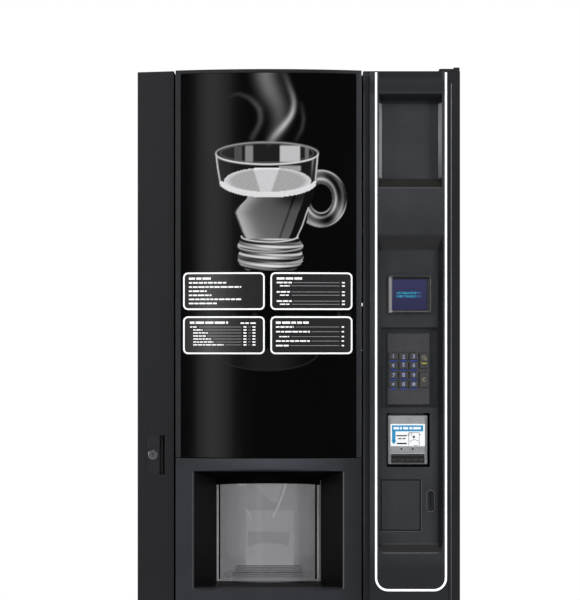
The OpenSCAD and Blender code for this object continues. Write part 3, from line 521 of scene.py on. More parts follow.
    # Rim: a thick bright lip in front, and a thinner one behind
    line, _ = ring(x, z, (-72, 1634.5), (116.5, 25), 2.6)
    thin, _ = ring(x, z, (-72, 1635.5), (106, 21), 1.5)
    front = soft(-z, -1640, -1620)
    level = np.maximum(level, line * (0.60 + 0.32 * front))
    level = np.maximum(level, thin * 0.34)
    # Faint mirror image on the table under the menu plates
    dish_line, dish = ring(x, z, (-72, 1185), (118, 44), 2)
    shadow = np.where((dish < 1) & (z < 1190), 0.10 * (1 - soft(np.abs(x + 72), 20, 116)) + 0.03, 0)
    level = np.maximum(level, shadow)
    level = np.maximum(level, np.where(z < 1185, dish_line * 0.16, 0))
    for low, high, glow in ((-150, -144, 0.22), (-104, -96, 0.20), (-30, 4, 0.10), (88, 96, 0.25),
                            (102, 120, 0.16)):
        sliver = (x > low) & (x < high) & (z > 1263) & (z < 1280)
        level = np.where(sliver, np.maximum(level, glow * (1280 - z) / 17), level)
    # A painted reflection of a lamp: a soft pool of light down the left of the print
    painted_reflection = 0.125 * np.exp(-((x + 200) / 40) ** 2) + 0.04 * np.exp(-((x + 150) / 60) ** 2)
    return np.maximum(level, painted_reflection)


def gloss_film(name, layer, strength=1.0):
    """Back-lit printed film behind polished acrylic, with fine dust and wipe marks in the gloss."""
    f = Finish(name, (0.001, 0.001, 0.001), 0.10, **{"Coat Weight": 0.1, "Coat Roughness": 0.06})
    f.set("Specular IOR Level", 0.2)
    print_layer = f.node("ShaderNodeAttribute", {"attribute_name": layer}, {}, out="Color")
    wipe = f.noise(14, 4, 0.6, f.stretched((1, 1, 0.25)))
    f.set("Emission Color", print_layer).set("Emission Strength", strength)
    return f.set("Roughness", wipe.between(0.3, 0.7, 0.10, 0.20)).material


def bowed_sheet(name, x_range, z_range, radius, thick, step, body, material, paint_at=None):
    """A bowed sheet whose front is a fine grid; paint_at gives a grey level for each point in mm."""
    nx = int(round((x_range[1] - x_range[0]) / step)) + 1
    nz = int(round((z_range[1] - z_range[0]) / step)) + 1
    gx, gz = np.meshgrid(np.linspace(*x_range, nx), np.linspace(*z_range, nz))
    front = np.stack([gx, bow_y(gx, radius), gz], axis=-1).reshape(-1, 3)
    rear = np.stack([gx, bow_y(gx, radius - thick), gz], axis=-1).reshape(-1, 3)
    k = np.arange(nx * nz).reshape(nz, nx)
    quads = np.stack([k[:-1, :-1], k[:-1, 1:], k[1:, 1:], k[1:, :-1]], axis=-1).reshape(-1, 4)
    loop = np.concatenate([k[0, :], k[1:, -1], k[-1, -2::-1], k[-2:0:-1, 0]])
    count = nx * nz
    verts = np.concatenate([front, rear[loop]])
    faces = [tuple(q) for q in quads.tolist()]
    size = len(loop)
    for i in range(size):
        j = (i + 1) % size
        faces.append((int(loop[j]), int(loop[i]), count + i, count + j))
    low = [count + i for i in range(nx)]
    high = [count + size - (nz - 1) - i for i in range(nx)]
    for i in range(nx - 1):
        faces.append((low[i + 1], low[i], high[i], high[i + 1]))
    data = bpy.data.meshes.new(name)
    data.from_pydata(verts.tolist(), [], faces)
    if paint_at:
        level = np.zeros(len(verts))
        level[:count] = paint_at(gx.ravel() * 1000, gz.ravel() * 1000) ** 2.2
        layer = data.color_attributes.new("print", "FLOAT_COLOR", "POINT")
        colour = np.ones((len(verts), 4))
        colour[:, :3] = level[:, None] * np.array([1.0, 1.0, 1.02])
        layer.data.foreach_set("color", colour.ravel())
    data.materials.append(material)
    data.shade_smooth()
    data.set_sharp_from_angle(angle=math.radians(34))
    piece = bpy.data.objects.new(name, data)
    scene.collection.objects.link(piece)
    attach(piece, body)
    return piece


pane = bowed_sheet("display_pane", (pane_lo.x + 0.0002, pane_hi.x - 0.0002), (pane_lo.z, pane_hi.z),
                   pane_r, 0.005, 0.00175, "door", gloss_film("printed_pane", "print"),
                   printed_glass)
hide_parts("display_panel")


# ---------------------------------------------------------------- menu plates
# Four thin rounded plates stick to the pane: a white printed border, a dark field, and rows of
# drinks. Each row here is a plain bar for a name, a leader line and a block for its code.
def bowed_plate(shape, x_range, z_range, corner, inner, outer):
    """Adds a thin rounded plate that follows the bow between two radii; sizes in metres."""
    (x0, x1), (z0, z1) = x_range, z_range
    turn = [corner * (1 - math.cos(math.radians(a))) for a in range(0, 91, 15)] if corner else [0]
    span = x1 - x0 - 2 * turn[-1]
    middle = np.linspace(0, span, max(2, int(span / 0.012) + 1))[1:-1]
    xs = [x0 + t for t in turn] + [x0 + turn[-1] + m for m in middle] + [x1 - t for t in turn[::-1]]
    columns = []
    for x in xs:
        near = max(0.0, corner - min(x - x0, x1 - x))
        cut = corner - math.sqrt(max(0.0, corner ** 2 - near ** 2))
        spots = [(z0 + cut, outer), (z1 - cut, outer), (z1 - cut, inner), (z0 + cut, inner)]
        columns.append([shape.verts.new((x, bow_y(x, r), z)) for z, r in spots])
    for a, b in zip(columns, columns[1:]):
        for k in range(4):
            shape.faces.new((a[k], b[k], b[(k + 1) % 4], a[(k + 1) % 4]))
    shape.faces.new(columns[0][::-1])
    shape.faces.new(columns[-1])


white_ink = moulded("white_ink", (0.78, 0.79, 0.80), 0.4, mottle=0.04)
self_lit(white_ink, 0.55)
leader_ink = moulded("leader_ink", (0.30, 0.30, 0.31), 0.4, mottle=0.1)
self_lit(leader_ink, 0.12)
field = Finish("menu_field", (0.01, 0.01, 0.01), 0.22)
across = field.node("ShaderNodeSeparateXYZ", {}, {0: field.place})
# Painted reflection: the dark field glows brighter near x = -0.205, where the lamp band crosses the pane
painted_reflection = across.math("ADD", 0.205).math("ABSOLUTE").between(0.0, 0.085, 1.0, 0.0)
speck = field.noise(900, 2)
field.set("Emission Color", field.blend(painted_reflection * painted_reflection + speck * 0.05, (0.012, 0.011, 0.012, 1),
                                        (0.052, 0.052, 0.054, 1)))
field.set("Emission Strength", 1.0).set("Roughness", speck.between(0.3, 0.7, 0.18, 0.28))

face = pane_r + 0.0001
# Each row: height of its centre, left end, length of the name, then whether it has a leader
menus = {
    "menu_1": ((-263.5, -77), (1278.6, 1364), (1350, -250.3, 51.6), None, [], [
        (1340.4, -250.3, 88), (1330.8, -250.3, 120), (1321.4, -250.3, 41),
        (1312, -250.3, 52), (1302.8, -250.3, 120), (1293.4, -250.3, 65)]),
    "menu_2": ((-64, 123), (1278.6, 1364), (1350, -49.7, 57.6), 93.5, [(99, 105.7)], [
        (1340.7, -49.7, 34.5), (1333.3, -42.4, 23), (1319.5, -49.7, 30),
        (1312.1, -42.4, 23), (1298.6, -49.7, 34.5), (1291.5, -42.4, 23)]),
    "menu_3": ((-263.5, -77), (1178, 1264), (1249.6, -248, 87.5), -129.9,
               [(-125.3, -118.5), (-104.9, -98.1)], [
        (1239.8, -247.5, 16.3), (1233, -240.2, 21.7), (1226.2, -240.2, 34), (1219.2, -240.2, 28.8),
        (1212.4, -240.2, 41), (1205.6, -240.2, 46.5), (1199.1, -240.2, 70)]),
    "menu_4": ((-64, 123), (1178, 1264), (1249.6, -51.5, 78), 93, [(98.4, 103.8)], [
        (1239.8, -51.5, 40.8), (1229, -51.5, 77.2), (1217.8, -44.2, 23),
        (1207.8, -51.5, 77.2), (1197.4, -51.5, 29)]),
}
dice = random.Random(7)


def word_bars(shape, z, x, length, height):
    """A line of print as short bars of different lengths, like words seen from far away."""
    end = x + length
    while x < end - 1.5:
        word = min(dice.uniform(7, 17) * height / 3.6, end - x)
        bowed_plate(shape, (x * mm, (x + word) * mm), ((z - height / 2) * mm, (z + height / 2) * mm),
                    0, face, face + 0.0006)
        x += word + height * 0.55


for name, (xs, zs, heading, leader_end, codes, rows) in menus.items():
    border = bmesh.new()
    bowed_plate(border, (xs[0] * mm, xs[1] * mm), (zs[0] * mm, zs[1] * mm), 0.011, face - 0.0004,
                face + 0.0003)
    finish_mesh(name + "_border", border, white_ink, "door")
    inside = bmesh.new()
    bowed_plate(inside, ((xs[0] + 3.6) * mm, (xs[1] - 3.6) * mm), ((zs[0] + 3.6) * mm, (zs[1] - 3.6) * mm),
                0.0078, face, face + 0.00045)
    finish_mesh(name + "_field", inside, field.material, "door")
    print_bars = bmesh.new()
    word_bars(print_bars, *heading, 5.0)
    if name == "menu_3":
        word_bars(print_bars, 1248.5, -132, 19, 3.2)
        word_bars(print_bars, 1248.5, -109.5, 15, 3.2)
    leaders = bmesh.new()
    for z, x, length in rows:
        tall = 3.4 if x == heading[1] or length > 100 else 2.6
        word_bars(print_bars, z, x, length, tall)
        for low, high in codes:
            word_bars(print_bars, z, low, high - low, 3.0)
        if leader_end:
            bowed_plate(leaders, ((x + length + 4) * mm, leader_end * mm), ((z - 0.5) * mm, (z + 0.5) * mm),
                        0, face, face + 0.00055)
        if name == "menu_3":
            bowed_plate(leaders, (-0.1144, -0.109), ((z - 0.5) * mm, (z + 0.5) * mm), 0, face,
                        face + 0.00055)
    finish_mesh(name + "_print", print_bars, white_ink, "door", smooth=False)
    if leader_end:
        finish_mesh(name + "_leaders", leaders, leader_ink, "door", smooth=False)
    else:
        leaders.free()


# ---------------------------------------------------------------- cup station
# Below the pane a bowed satin bezel flares in to a round chamber. A smoked acrylic window turns in two
# plated guides; behind it are a moulded back plate, a cup holder and a wire-edged drip grille.
def zone(f, axis, low, high, edge=0.0008):
    """1 between low and high along one axis of the place, with soft edges."""
    along = f.node("ShaderNodeSeparateXYZ", {}, {0: f.place}, out=axis)
    return along.between(low - edge, low + edge) * along.between(high - edge, high + edge, 1.0, 0.0)


def tinted(material, mask, colour):
    """Mixes colour over a finish's own colour where the mask is 1."""
    socket = material.shader.inputs["Base Color"]
    own = Wire(material, socket.links[0].from_socket)
    material.set("Base Color", material.blend(mask, own, (*colour, 1)))


def moulded_finish(name, colour, roughness, grain, depth):
    """The moulded plastic again, kept as a Finish so that zones can be mixed in."""
    f = Finish(name, colour, roughness)
    etched = f.noise(grain, 2, 0.5)
    cloud = f.noise(9, 4, 0.6)
    f.set("Base Color", f.blend((etched * 0.35 + cloud * 0.65).between(0.35, 0.65), shade(colour, 0.88),
                                shade(colour, 1.12)))
    f.set("Roughness", etched * 0.08 + cloud * 0.16 + (roughness - 0.12))
    f.bump(etched, depth)
    return f


bezel = moulded_finish("bezel_satin", (0.040, 0.042, 0.049), 0.40, 900, 0.00005)
bezel.set("Specular IOR Level", 0.2)
# Painted shade: the bezel darkens towards its right-hand end
tinted(bezel, zone(bezel, 0, 0.112, 0.2, 0.03) * 0.7, (0.014, 0.014, 0.016))
# Painted shade: the flare walls inside the opening are painted near black
inside = zone(bezel, 0, -0.2385, 0.1005) * zone(bezel, 2, 0.6445, 0.9085)
tinted(bezel, inside, (0.0035, 0.0035, 0.004))
# Painted highlight: the top centre of the bezel is lighter
upper = zone(bezel, 2, 0.915, 1.0, 0.02) * zone(bezel, 0, -0.16, 0.02, 0.09)
tinted(bezel, upper * 0.6, (0.105, 0.109, 0.122))
# Painted highlights: pale lines down the right and left edges of the flare
edge_z = zone(bezel, 2, 0.643, 0.910)
tinted(bezel, zone(bezel, 0, 0.1013, 0.1040, 0.0005) * edge_z, (0.13, 0.132, 0.14))
tinted(bezel, zone(bezel, 0, -0.2425, -0.2400, 0.0005) * edge_z, (0.085, 0.086, 0.092))
paint("station_bezel", bezel.material, 0.0016)

chamber = moulded_finish("chamber_grey", (0.42, 0.42, 0.43), 0.5, 700, 0.00006)
# Painted light: the chamber glows, the back plate less than the rest
back_plate = zone(chamber, 0, -0.1260, -0.0105) * zone(chamber, 1, -0.1660, -0.1600)
chamber.set("Emission Color", chamber.blend(back_plate, (0.07, 0.07, 0.072, 1),
                                            (0.22, 0.22, 0.225, 1))).set("Emission Strength", 1.0)
# Painted shade: the right part of the chamber is darker
wall_right = zone(chamber, 0, 0.003, 0.2, 0.006)
tinted(chamber, wall_right, (0.13, 0.13, 0.135))
paint("cup_chamber", chamber.material, 0.0005)
plated = sheet_steel("plated_guide", (0.62, 0.62, 0.61), 0.3, (60, 60, 1))
fixed(plated, "Metallic", 0.35)
paint("window_guides", plated, 0.0012)

smoked = moulded_finish("smoked_acrylic", (0.20, 0.20, 0.205), 0.16, 300, 0.000004)
smoke = smoked.noise(26, 5, 0.6, smoked.stretched((1, 1, 0.4)))
# Painted shade of the chamber behind: darker on the right of the window, a little darker on the left
tinted(smoked, zone(smoked, 0, -0.0040, 0.2, 0.002) * 0.55, (0.085, 0.085, 0.086))
tinted(smoked, zone(smoked, 0, -0.40, -0.135, 0.004) * 0.35, (0.10, 0.10, 0.105))
clear_foot = zone(smoked, 2, 0.60, 0.712, 0.010)
smoked.set("Alpha", smoke.between(0.3, 0.7, 0.42, 0.50) - clear_foot * 0.30).set("Coat Weight", 0.2)
# Painted light: the window glows a little
smoked.set("Emission Color", smoked.blend(smoke, (0.125, 0.125, 0.129, 1),
                                          (0.16, 0.16, 0.166, 1))).set("Emission Strength", 0.8)
paint("cup_window", smoked.material)

grille_steel = sheet_steel("grille_steel", (0.60, 0.61, 0.62), 0.2, (60, 2, 60))
paint("drip_grille", grille_steel, 0.0005)
grille_lo, grille_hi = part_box("drip_grille")


def rail(shape, points, radius, sides=10):
    """Adds a round bar swept through points."""
    rings = []
    for k, point in enumerate(points):
        before = Vector(points[max(k - 1, 0)])
        after = Vector(points[min(k + 1, len(points) - 1)])
        ahead = (after - before).normalized()
        side = ahead.cross(Vector((0, 0, 1)))
        side = side.normalized() if side.length > 0.05 else Vector((1, 0, 0))
        lift = side.cross(ahead).normalized()
        rings.append([shape.verts.new(Vector(point) + radius * (math.cos(a) * side + math.sin(a) * lift))
                      for a in np.linspace(0, 2 * math.pi, sides, endpoint=False)])
    for low, high in zip(rings, rings[1:]):
        for k in range(sides):
            shape.faces.new((low[k], low[(k + 1) % sides], high[(k + 1) % sides], high[k]))
    shape.faces.new(rings[0][::-1])
    shape.faces.new(rings[-1])


cup_x = -0.07075
window_y = -0.2513
rim = bmesh.new()
for start, end, reach in ((215, 325, 0.1035), (140, 40, 0.1035)):
    arc = [(cup_x + reach * math.cos(math.radians(a)),
            max(window_y + reach * math.sin(math.radians(a)), grille_lo.y + 0.0022)
            if start > 180 else min(window_y + reach * math.sin(math.radians(a)),
                                    grille_hi.y - 0.0022), grille_hi.z + 0.0030)
           for a in np.linspace(start, end, 33)]
    rail(rim, arc, 0.0022)
    for post in (arc[4], arc[16], arc[28]):
        turned(rim, [(0.0016, 0), (0.0016, 0.004)], (post[0], post[1], grille_hi.z - 0.001), "Z", 10)
finish_mesh("grille_rim", rim, grille_steel, "drip_grille")

seal_and_shadow_black = moulded("seal_and_shadow_black", (0.0008, 0.0008, 0.0008), 0.85)
fixed(seal_and_shadow_black, "Specular IOR Level", 0.05)
# Painted shadow: thin black rings laid above and below the plated rim
dark_ring = bmesh.new()
for start, end in ((218, 322), (138, 42)):
    for lift, reach in ((0.0074, 0.1035), (-0.0010, 0.1065)):
        arc = [(cup_x + reach * math.cos(math.radians(a)),
                max(window_y + reach * math.sin(math.radians(a)), grille_lo.y + 0.0030)
                if start > 180 else min(window_y + reach * math.sin(math.radians(a)), grille_hi.y - 0.0030),
                grille_hi.z + lift) for a in np.linspace(start, end, 33)]
        rail(dark_ring, arc, 0.0012, 8)
finish_mesh("rim_shadow_rings", dark_ring, seal_and_shadow_black, "drip_grille")

# Black hood over the window: it follows the window's curve and closes the flare above it
hood = bmesh.new()
turn = np.linspace(-58, 58, 41)
hood_rings = []
for radius in (0.1268, 0.1285):
    for top in (False, True):
        ring_now = []
        for a in turn:
            angle = math.radians(a)
            y = window_y - radius * math.cos(angle)
            high = 0.911 - 0.025 * (y + 0.386) / 0.068 - 0.0006
            low = 0.8826 - 0.0074 * (1 - math.cos(angle)) / (1 - math.cos(math.radians(58)))
            ring_now.append(hood.verts.new((cup_x + radius * math.sin(angle), y, high if top else low)))
        hood_rings.append(ring_now)
hood_order = (0, 1, 3, 2)
for k in range(4):
    a, b = hood_rings[hood_order[k]], hood_rings[hood_order[(k + 1) % 4]]
    for n in range(len(turn) - 1):
        hood.faces.new((a[n], a[n + 1], b[n + 1], b[n]))
for n in (0, len(turn) - 1):
    hood.faces.new([hood_rings[k][n] for k in hood_order])
for x0, x1 in ((-0.1915, -0.1798), (0.0383, 0.0508)):
    block(hood, (x0, -0.3192, 0.8745), (x1, -0.3180, 0.8856))
finish_mesh("window_hood", hood, seal_and_shadow_black, "door")
# Painted shade: a black sheet laid over the flare's ceiling on both sides of the hood
shade_sheet = bmesh.new()
corners = [(-0.2395, -0.3860, 0.9104), (-0.1892, -0.3185, 0.8856), (0.0512, -0.3185, 0.8856),
           (0.1015, -0.3860, 0.9104)]
closed_prism(shade_sheet, corners, [(x, y, z - 0.0006) for x, y, z in corners])
finish_mesh("flare_ceiling_shade", shade_sheet, seal_and_shadow_black, "door", smooth=False)

seals = bmesh.new()
block(seals, (-0.1846, -0.3142, 0.6560), (-0.1812, -0.3127, 0.8790))
block(seals, (0.0386, -0.3142, 0.6560), (0.0431, -0.3127, 0.8790))
finish_mesh("window_seals", seals, seal_and_shadow_black, "door", bevel=0.0003)

pale_plastic = moulded("pale_plastic", (0.70, 0.70, 0.70), 0.4)
# Painted light: the rinse tube and splash fins glow a little
self_lit(pale_plastic, 0.35)
spout = bmesh.new()
rail(spout, [(-0.0265, -0.262, 0.884), (-0.0305, -0.264, 0.868), (-0.0385, -0.266, 0.842),
             (-0.0480, -0.266, 0.818),
             (-0.0590, -0.264, 0.795)], 0.0024)
rail(spout, [(-0.1235, -0.264, 0.8150), (-0.1190, -0.265, 0.8095), (-0.1150, -0.265, 0.8005),
             (-0.1115, -0.264, 0.790)], 0.0016)
block(spout, (-0.034, -0.270, 0.880), (-0.018, -0.254, 0.8965))
finish_mesh("rinse_tube", spout, pale_plastic, "door")
fins = bmesh.new()
for line in ([(-154, 878), (-127, 878), (-134, 866)], [(-133, 878), (-124, 878), (-126, 862)],
             [(-129, 877), (-121, 877), (-122, 868)]):
    closed_prism(fins, *[[(x * mm, y, z * mm) for x, z in line] for y in (-0.2640, -0.2610)])
finish_mesh("splash_fins", fins, pale_plastic, "door", smooth=False)
shield_plastic = moulded("shield_plastic", (0.55, 0.55, 0.56), 0.4)
# Painted light: the nozzle shield glows a little
self_lit(shield_plastic, 0.16)
shield = bmesh.new()
line = [(-100, 880), (-100, 866), (-63, 828), (-49, 828), (-36, 880)]
closed_prism(shield, *[[(x * mm, y, z * mm) for x, z in line] for y in (-0.2480, -0.2450)])
finish_mesh("nozzle_shield", shield, shield_plastic, "door", smooth=False)


# ---------------------------------------------------------------- money column
# The money column is one grained moulding with two sunk panels. A pale light line frames it, and a
# bright bead closes its hinge edge. Painted shade darkens its recess slopes, walls and pockets, painted
# highlights line its lips and edges, and a painted sheen lies on the side walls of the upper panel.
column = Finish("column_grain", (0.040, 0.043, 0.047), 0.46)
pebble = column.noise(430, 3, 0.55)
worn = column.noise(7, 5, 0.62)
column.set("Base Color", column.blend((pebble * 0.55 + worn * 0.45).between(0.36, 0.64),
                                      (0.022, 0.024, 0.028, 1),
                                      (0.046, 0.049, 0.054, 1)))
column.set("Roughness", pebble * 0.16 + worn * 0.2 + 0.30)
column.bump(pebble, 0.0002)
upper_x = zone(column, 0, 0.184, 0.3295)
# Painted shade on the upper panel's top slope (z 1.7545 to 1.776); the column is also darker above z 1.804
tinted(column, upper_x * zone(column, 2, 1.7545, 1.776) + upper_x * zone(column, 2, 1.804, 1.83, 0.008),
       (0.007, 0.008, 0.010))
tinted(column, zone(column, 2, 0.0, 0.712, 0.03), (0.012, 0.013, 0.014))
tinted(column, zone(column, 2, 1.776, 1.804, 0.006), (0.014, 0.015, 0.018))
rim_x = zone(column, 0, 0.188, 0.282, 0.0005)
rim_z = zone(column, 2, 0.7712, 0.8893, 0.0005)
blank = rim_x * (zone(column, 2, 0.7708, 0.7740, 0.0005) + zone(column, 2, 0.8864, 0.8896, 0.0005))
blank = blank + rim_z * (zone(column, 0, 0.1885, 0.1915, 0.0005) + zone(column, 0, 0.2785, 0.2817, 0.0005))
tinted(column, blank, (0.0015, 0.0015, 0.002))
# Painted highlights along the bottom and right edges of the reader blank
edge_light = rim_x * zone(column, 2, 0.7688, 0.7704, 0.0004) + rim_z * zone(column, 0, 0.2822, 0.2838,
        0.0004)
tinted(column, edge_light, (0.085, 0.086, 0.09))
tinted(column, zone(column, 0, 0.1525, 0.1640) * zone(column, 2, 0.10, 1.815, 0.002) + zone(column, 0,
        0.3418, 0.3479), (0.0045, 0.0045, 0.006))
# Painted shade, a brownish dark, on the upper panel's bottom slope
tinted(column, upper_x * zone(column, 2, 1.5600, 1.5815), (0.017, 0.016, 0.013))
# Painted reflection: a pale sheen on the side walls of the upper panel
sides = zone(column, 0, 0.1842, 0.1926) + zone(column, 0, 0.3215, 0.3287)
depth = zone(column, 1, -0.3643, -0.3380)
glow = column.noise(5, 3).between(0.3, 0.7, 0.25, 1.0)
tinted(column, sides * depth * zone(column, 2, 1.5825, 1.7535, 0.002) * glow, (0.50, 0.50, 0.50))
# Painted shade on the control recess: its top slope, its right wall and its bottom slope
recess_x = zone(column, 0, 0.1825, 0.3305)
tinted(column, recess_x * zone(column, 2, 1.4170, 1.4535, 0.004) * zone(column, 1, -0.3648, -0.34),
       (0.008, 0.008, 0.009))
tinted(column, zone(column, 0, 0.3205, 0.3312) * zone(column, 2, 0.722, 1.430, 0.008) * zone(column, 1,
        -0.3648, -0.34), (0.006, 0.006, 0.007))
tinted(column, recess_x * zone(column, 2, 0.722, 0.7395) * zone(column, 1, -0.3648, -0.34),
       (0.009, 0.009, 0.010))
# Painted highlights along the lip under the control recess and the lip under the upper panel
lip_x = zone(column, 0, 0.192, 0.321, 0.004)
tinted(column, lip_x * zone(column, 2, 0.7212, 0.7232, 0.0006), (0.13, 0.13, 0.135))
tinted(column, lip_x * zone(column, 2, 0.7400, 0.7418, 0.0006), (0.075, 0.076, 0.08))
tinted(column, zone(column, 0, 0.186, 0.326, 0.004) * zone(column, 2, 1.5578, 1.5600, 0.0006),
       (0.085, 0.085, 0.088))
# Painted shade on the walls of the keypad pocket
pocket_x = zone(column, 0, 0.191, 0.320)
tinted(column, pocket_x * zone(column, 1, -0.3468, -0.3392) * zone(column, 2, 1.0540, 1.2395),
       (0.010, 0.010, 0.011))
paint("money_column", column.material)

light_line = Finish("light_line", (0.85, 0.86, 0.90), 0.3)
flicker = light_line.noise(12, 3)
light_line.set("Emission Color", light_line.blend(flicker, (0.94, 0.95, 1.0, 1), (0.86, 0.89, 1.0, 1)))
light_line.set("Emission Strength", 0.75)
paint("trim_line", light_line.material)
bead_metal = sheet_steel("bead_metal", (0.16, 0.16, 0.17), 0.45, (50, 50, 1))
bead = bmesh.new()
rail(bead, [(0.3497, -0.3650, z) for z in np.linspace(0.130, 1.797, 30)], 0.0011, 8)
finish_mesh("hinge_bead", bead, bead_metal, "door")


# ---------------------------------------------------------------- message display
# A vacuum fluorescent module sits behind a chamfered snap-in frame; its indigo filter glows and two
# rows of small dots spell a message.
lcd_plastic = moulded_finish("lcd_frame", (0.040, 0.040, 0.041), 0.3, 1500, 0.00004)
# Painted shade along the top of the frame, and a painted highlight down its left side
tinted(lcd_plastic, zone(lcd_plastic, 2, 1.3497, 1.37), (0.007, 0.007, 0.008))
lit_side = zone(lcd_plastic, 0, 0.20, 0.2157) * zone(lcd_plastic, 2, 1.26, 1.3545, 0.004)
tinted(lcd_plastic, lit_side, (0.26, 0.255, 0.25))
lcd_frame = lcd_plastic.material
paint("lcd_module", lcd_frame)
lcd_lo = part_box("lcd_module")[0]
chamfer = bmesh.new()
outer = [(0.2072, 1.2728), (0.3048, 1.2728), (0.3048, 1.3583), (0.2072, 1.3583)]
inner = [(0.2155, 1.2798), (0.2950, 1.2798), (0.2950, 1.3500), (0.2155, 1.3500)]
back_y = lcd_lo.y + 0.0016
loops = []
for line, y in ((outer, lcd_lo.y + 0.0015), (outer, lcd_lo.y - 0.0009),
                ([(x * 0.96 + 0.04 * 0.256, z * 0.96 + 0.04 * 1.3155) for x, z in outer],
                 lcd_lo.y - 0.0016),
                (inner, back_y)):
    loops.append([chamfer.verts.new((x, y, z)) for x, z in line])
for a, b in zip(loops, loops[1:]):
    for k in range(4):
        chamfer.faces.new((a[k], a[(k + 1) % 4], b[(k + 1) % 4], b[k]))
for k in range(4):
    chamfer.faces.new((loops[0][k], loops[3][k], loops[3][(k + 1) % 4], loops[0][(k + 1) % 4]))
finish_mesh("lcd_chamfer", chamfer, lcd_frame, "door", bevel=0.0004, smooth=False)

indigo = Finish("indigo_filter", (0.02, 0.02, 0.05), 0.12, **{"Coat Weight": 0.3})
rise = indigo.node("ShaderNodeSeparateXYZ", {}, {0: indigo.place}, out=2).between(1.285, 1.345)
cells = indigo.noise(260, 2)
indigo.set("Emission Color", indigo.blend(rise * 0.8 + cells * 0.2, (0.017, 0.017, 0.052, 1),
                                          (0.032, 0.031, 0.085, 1)))
indigo.set("Emission Strength", 0.72).set("Roughness", cells.between(0.3, 0.7, 0.1, 0.2))
screen = bmesh.new()
block(screen, (0.2155, back_y - 0.0002, 1.2798), (0.2950, back_y + 0.0006, 1.3500))
finish_mesh("lcd_screen", screen, indigo.material, "door", smooth=False)
dot_glow = Finish("dot_glow", (0.02, 0.2, 0.3), 0.4)
dot_tone = dot_glow.noise(420, 2)
dot_glow.set("Emission Color", dot_glow.blend(dot_tone, (0.01, 0.25, 0.42, 1), (0.02, 0.42, 0.60, 1)))
dot_glow.set("Emission Strength", 1.0)
dim_glow = Finish("dim_glow", (0.02, 0.1, 0.2), 0.4)
dim_tone = dim_glow.noise(420, 2)
dim_glow.set("Emission Color", dim_glow.blend(dim_tone, (0.03, 0.07, 0.20, 1), (0.04, 0.10, 0.26, 1)))
dim_glow.set("Emission Strength", 1.0)
for name, glow_material, first, last in (("lcd_dots", dot_glow.material, 0, 11),
                                         ("lcd_dim_dots", dim_glow.material, 11, 14)):
    dots = bmesh.new()
    for row_z in (1.3182, 1.3105):
        for cell in range(first, last):
            for i in range(4):
                for j in range(5):
                    if dice.random() < 0.62:
                        x = 0.2262 + cell * 0.0041 + i * 0.00085
                        z = row_z + (j - 2) * 0.00105
                        block(dots, (x - 0.00036, back_y - 0.0005, z - 0.00042),
                              (x + 0.00036, back_y, z + 0.00042))
    finish_mesh(name, dots, glow_material, "door", smooth=False)


# ---------------------------------------------------------------- keypad
# Fourteen dished keys stand in a grained plate; blue light leaks out under each of the twelve small
# ones. Their legends are pad printed.
plate_grey = powder_coat("plate_grey", (0.062, 0.062, 0.066), 520, 0.00012, 0.5)
paint("keypad_plate", plate_grey, 0.0004)
key_grey = moulded("key_grey", (0.075, 0.073, 0.072), 0.38, 2200, 0.00003)
legend_ink = moulded("legend_ink", (0.42, 0.45, 0.72), 0.4)
gold_ink = moulded("gold_ink", (0.42, 0.38, 0.24), 0.4)
yellow_ink = moulded("yellow_ink", (0.75, 0.70, 0.05), 0.4)
backlight = Finish("backlight", (0.01, 0.02, 0.10), 0.4)
leak = backlight.noise(300, 2)
backlight.set("Emission Color", backlight.blend(leak.between(0.3, 0.7), (0.010, 0.016, 0.085, 1),
                                                (0.035, 0.075, 0.30, 1)))
backlight.set("Emission Strength", 1.0)


def legend(name, words, size, place, material, body):
    """Pad printed figures, centred on place, facing the front."""
    curve = bpy.data.curves.new(name, "FONT")
    curve.body = words
    curve.size = size
    curve.align_x = "CENTER"
    curve.align_y = "CENTER"
    curve.extrude = 0.0001
    curve.offset = size * 0.02
    holder = bpy.data.objects.new(name + "_curve", curve)
    scene.collection.objects.link(holder)
    bpy.context.view_layer.update()
    shape = bmesh.new()
    shape.from_mesh(holder.to_mesh())
    holder.to_mesh_clear()
    bpy.data.objects.remove(holder)
    middle = [sum(v.co[i] for v in shape.verts) / len(shape.verts) for i in range(2)]
    for v in shape.verts:
        v.co = Vector((place[0] + v.co.x - middle[0], place[1] - v.co.z, place[2] + v.co.y - middle[1]))
    return finish_mesh(name, shape, material, body, smooth=False)


key_names = {"key_1": "1", "key_2": "2", "key_3": "3", "key_4": "4", "key_5": "5", "key_6": "6",
             "key_7": "7",
             "key_8": "8", "key_9": "9", "key_star": "*", "key_0": "0", "key_hash": "#", "key_select": "",
             "key_cancel": "C"}
glow_bars = bmesh.new()
for key_name, mark in key_names.items():
    paint(key_name, key_grey, 0.0009)
    lo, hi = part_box(key_name)
    mid_x = (lo.x + hi.x) / 2
    mid_z = (lo.z + hi.z) / 2
    if mark:
        legend(key_name + "_legend", mark, 0.0125 if mark != "C" else 0.012, (mid_x, lo.y - 0.00005, mid_z),
               legend_ink if mark != "C" else gold_ink, key_name)
    if key_name not in ("key_select", "key_cancel"):
        block(glow_bars, (mid_x - 0.0074, lo.y + 0.0026, lo.z - 0.0046),
              (mid_x + 0.0074, lo.y + 0.0036, lo.z - 0.0016))
finish_mesh("key_backlights", glow_bars, backlight.material, "door", smooth=False)
lo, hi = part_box("key_select")
cup_mark = bmesh.new()
mid_x = (lo.x + hi.x) / 2
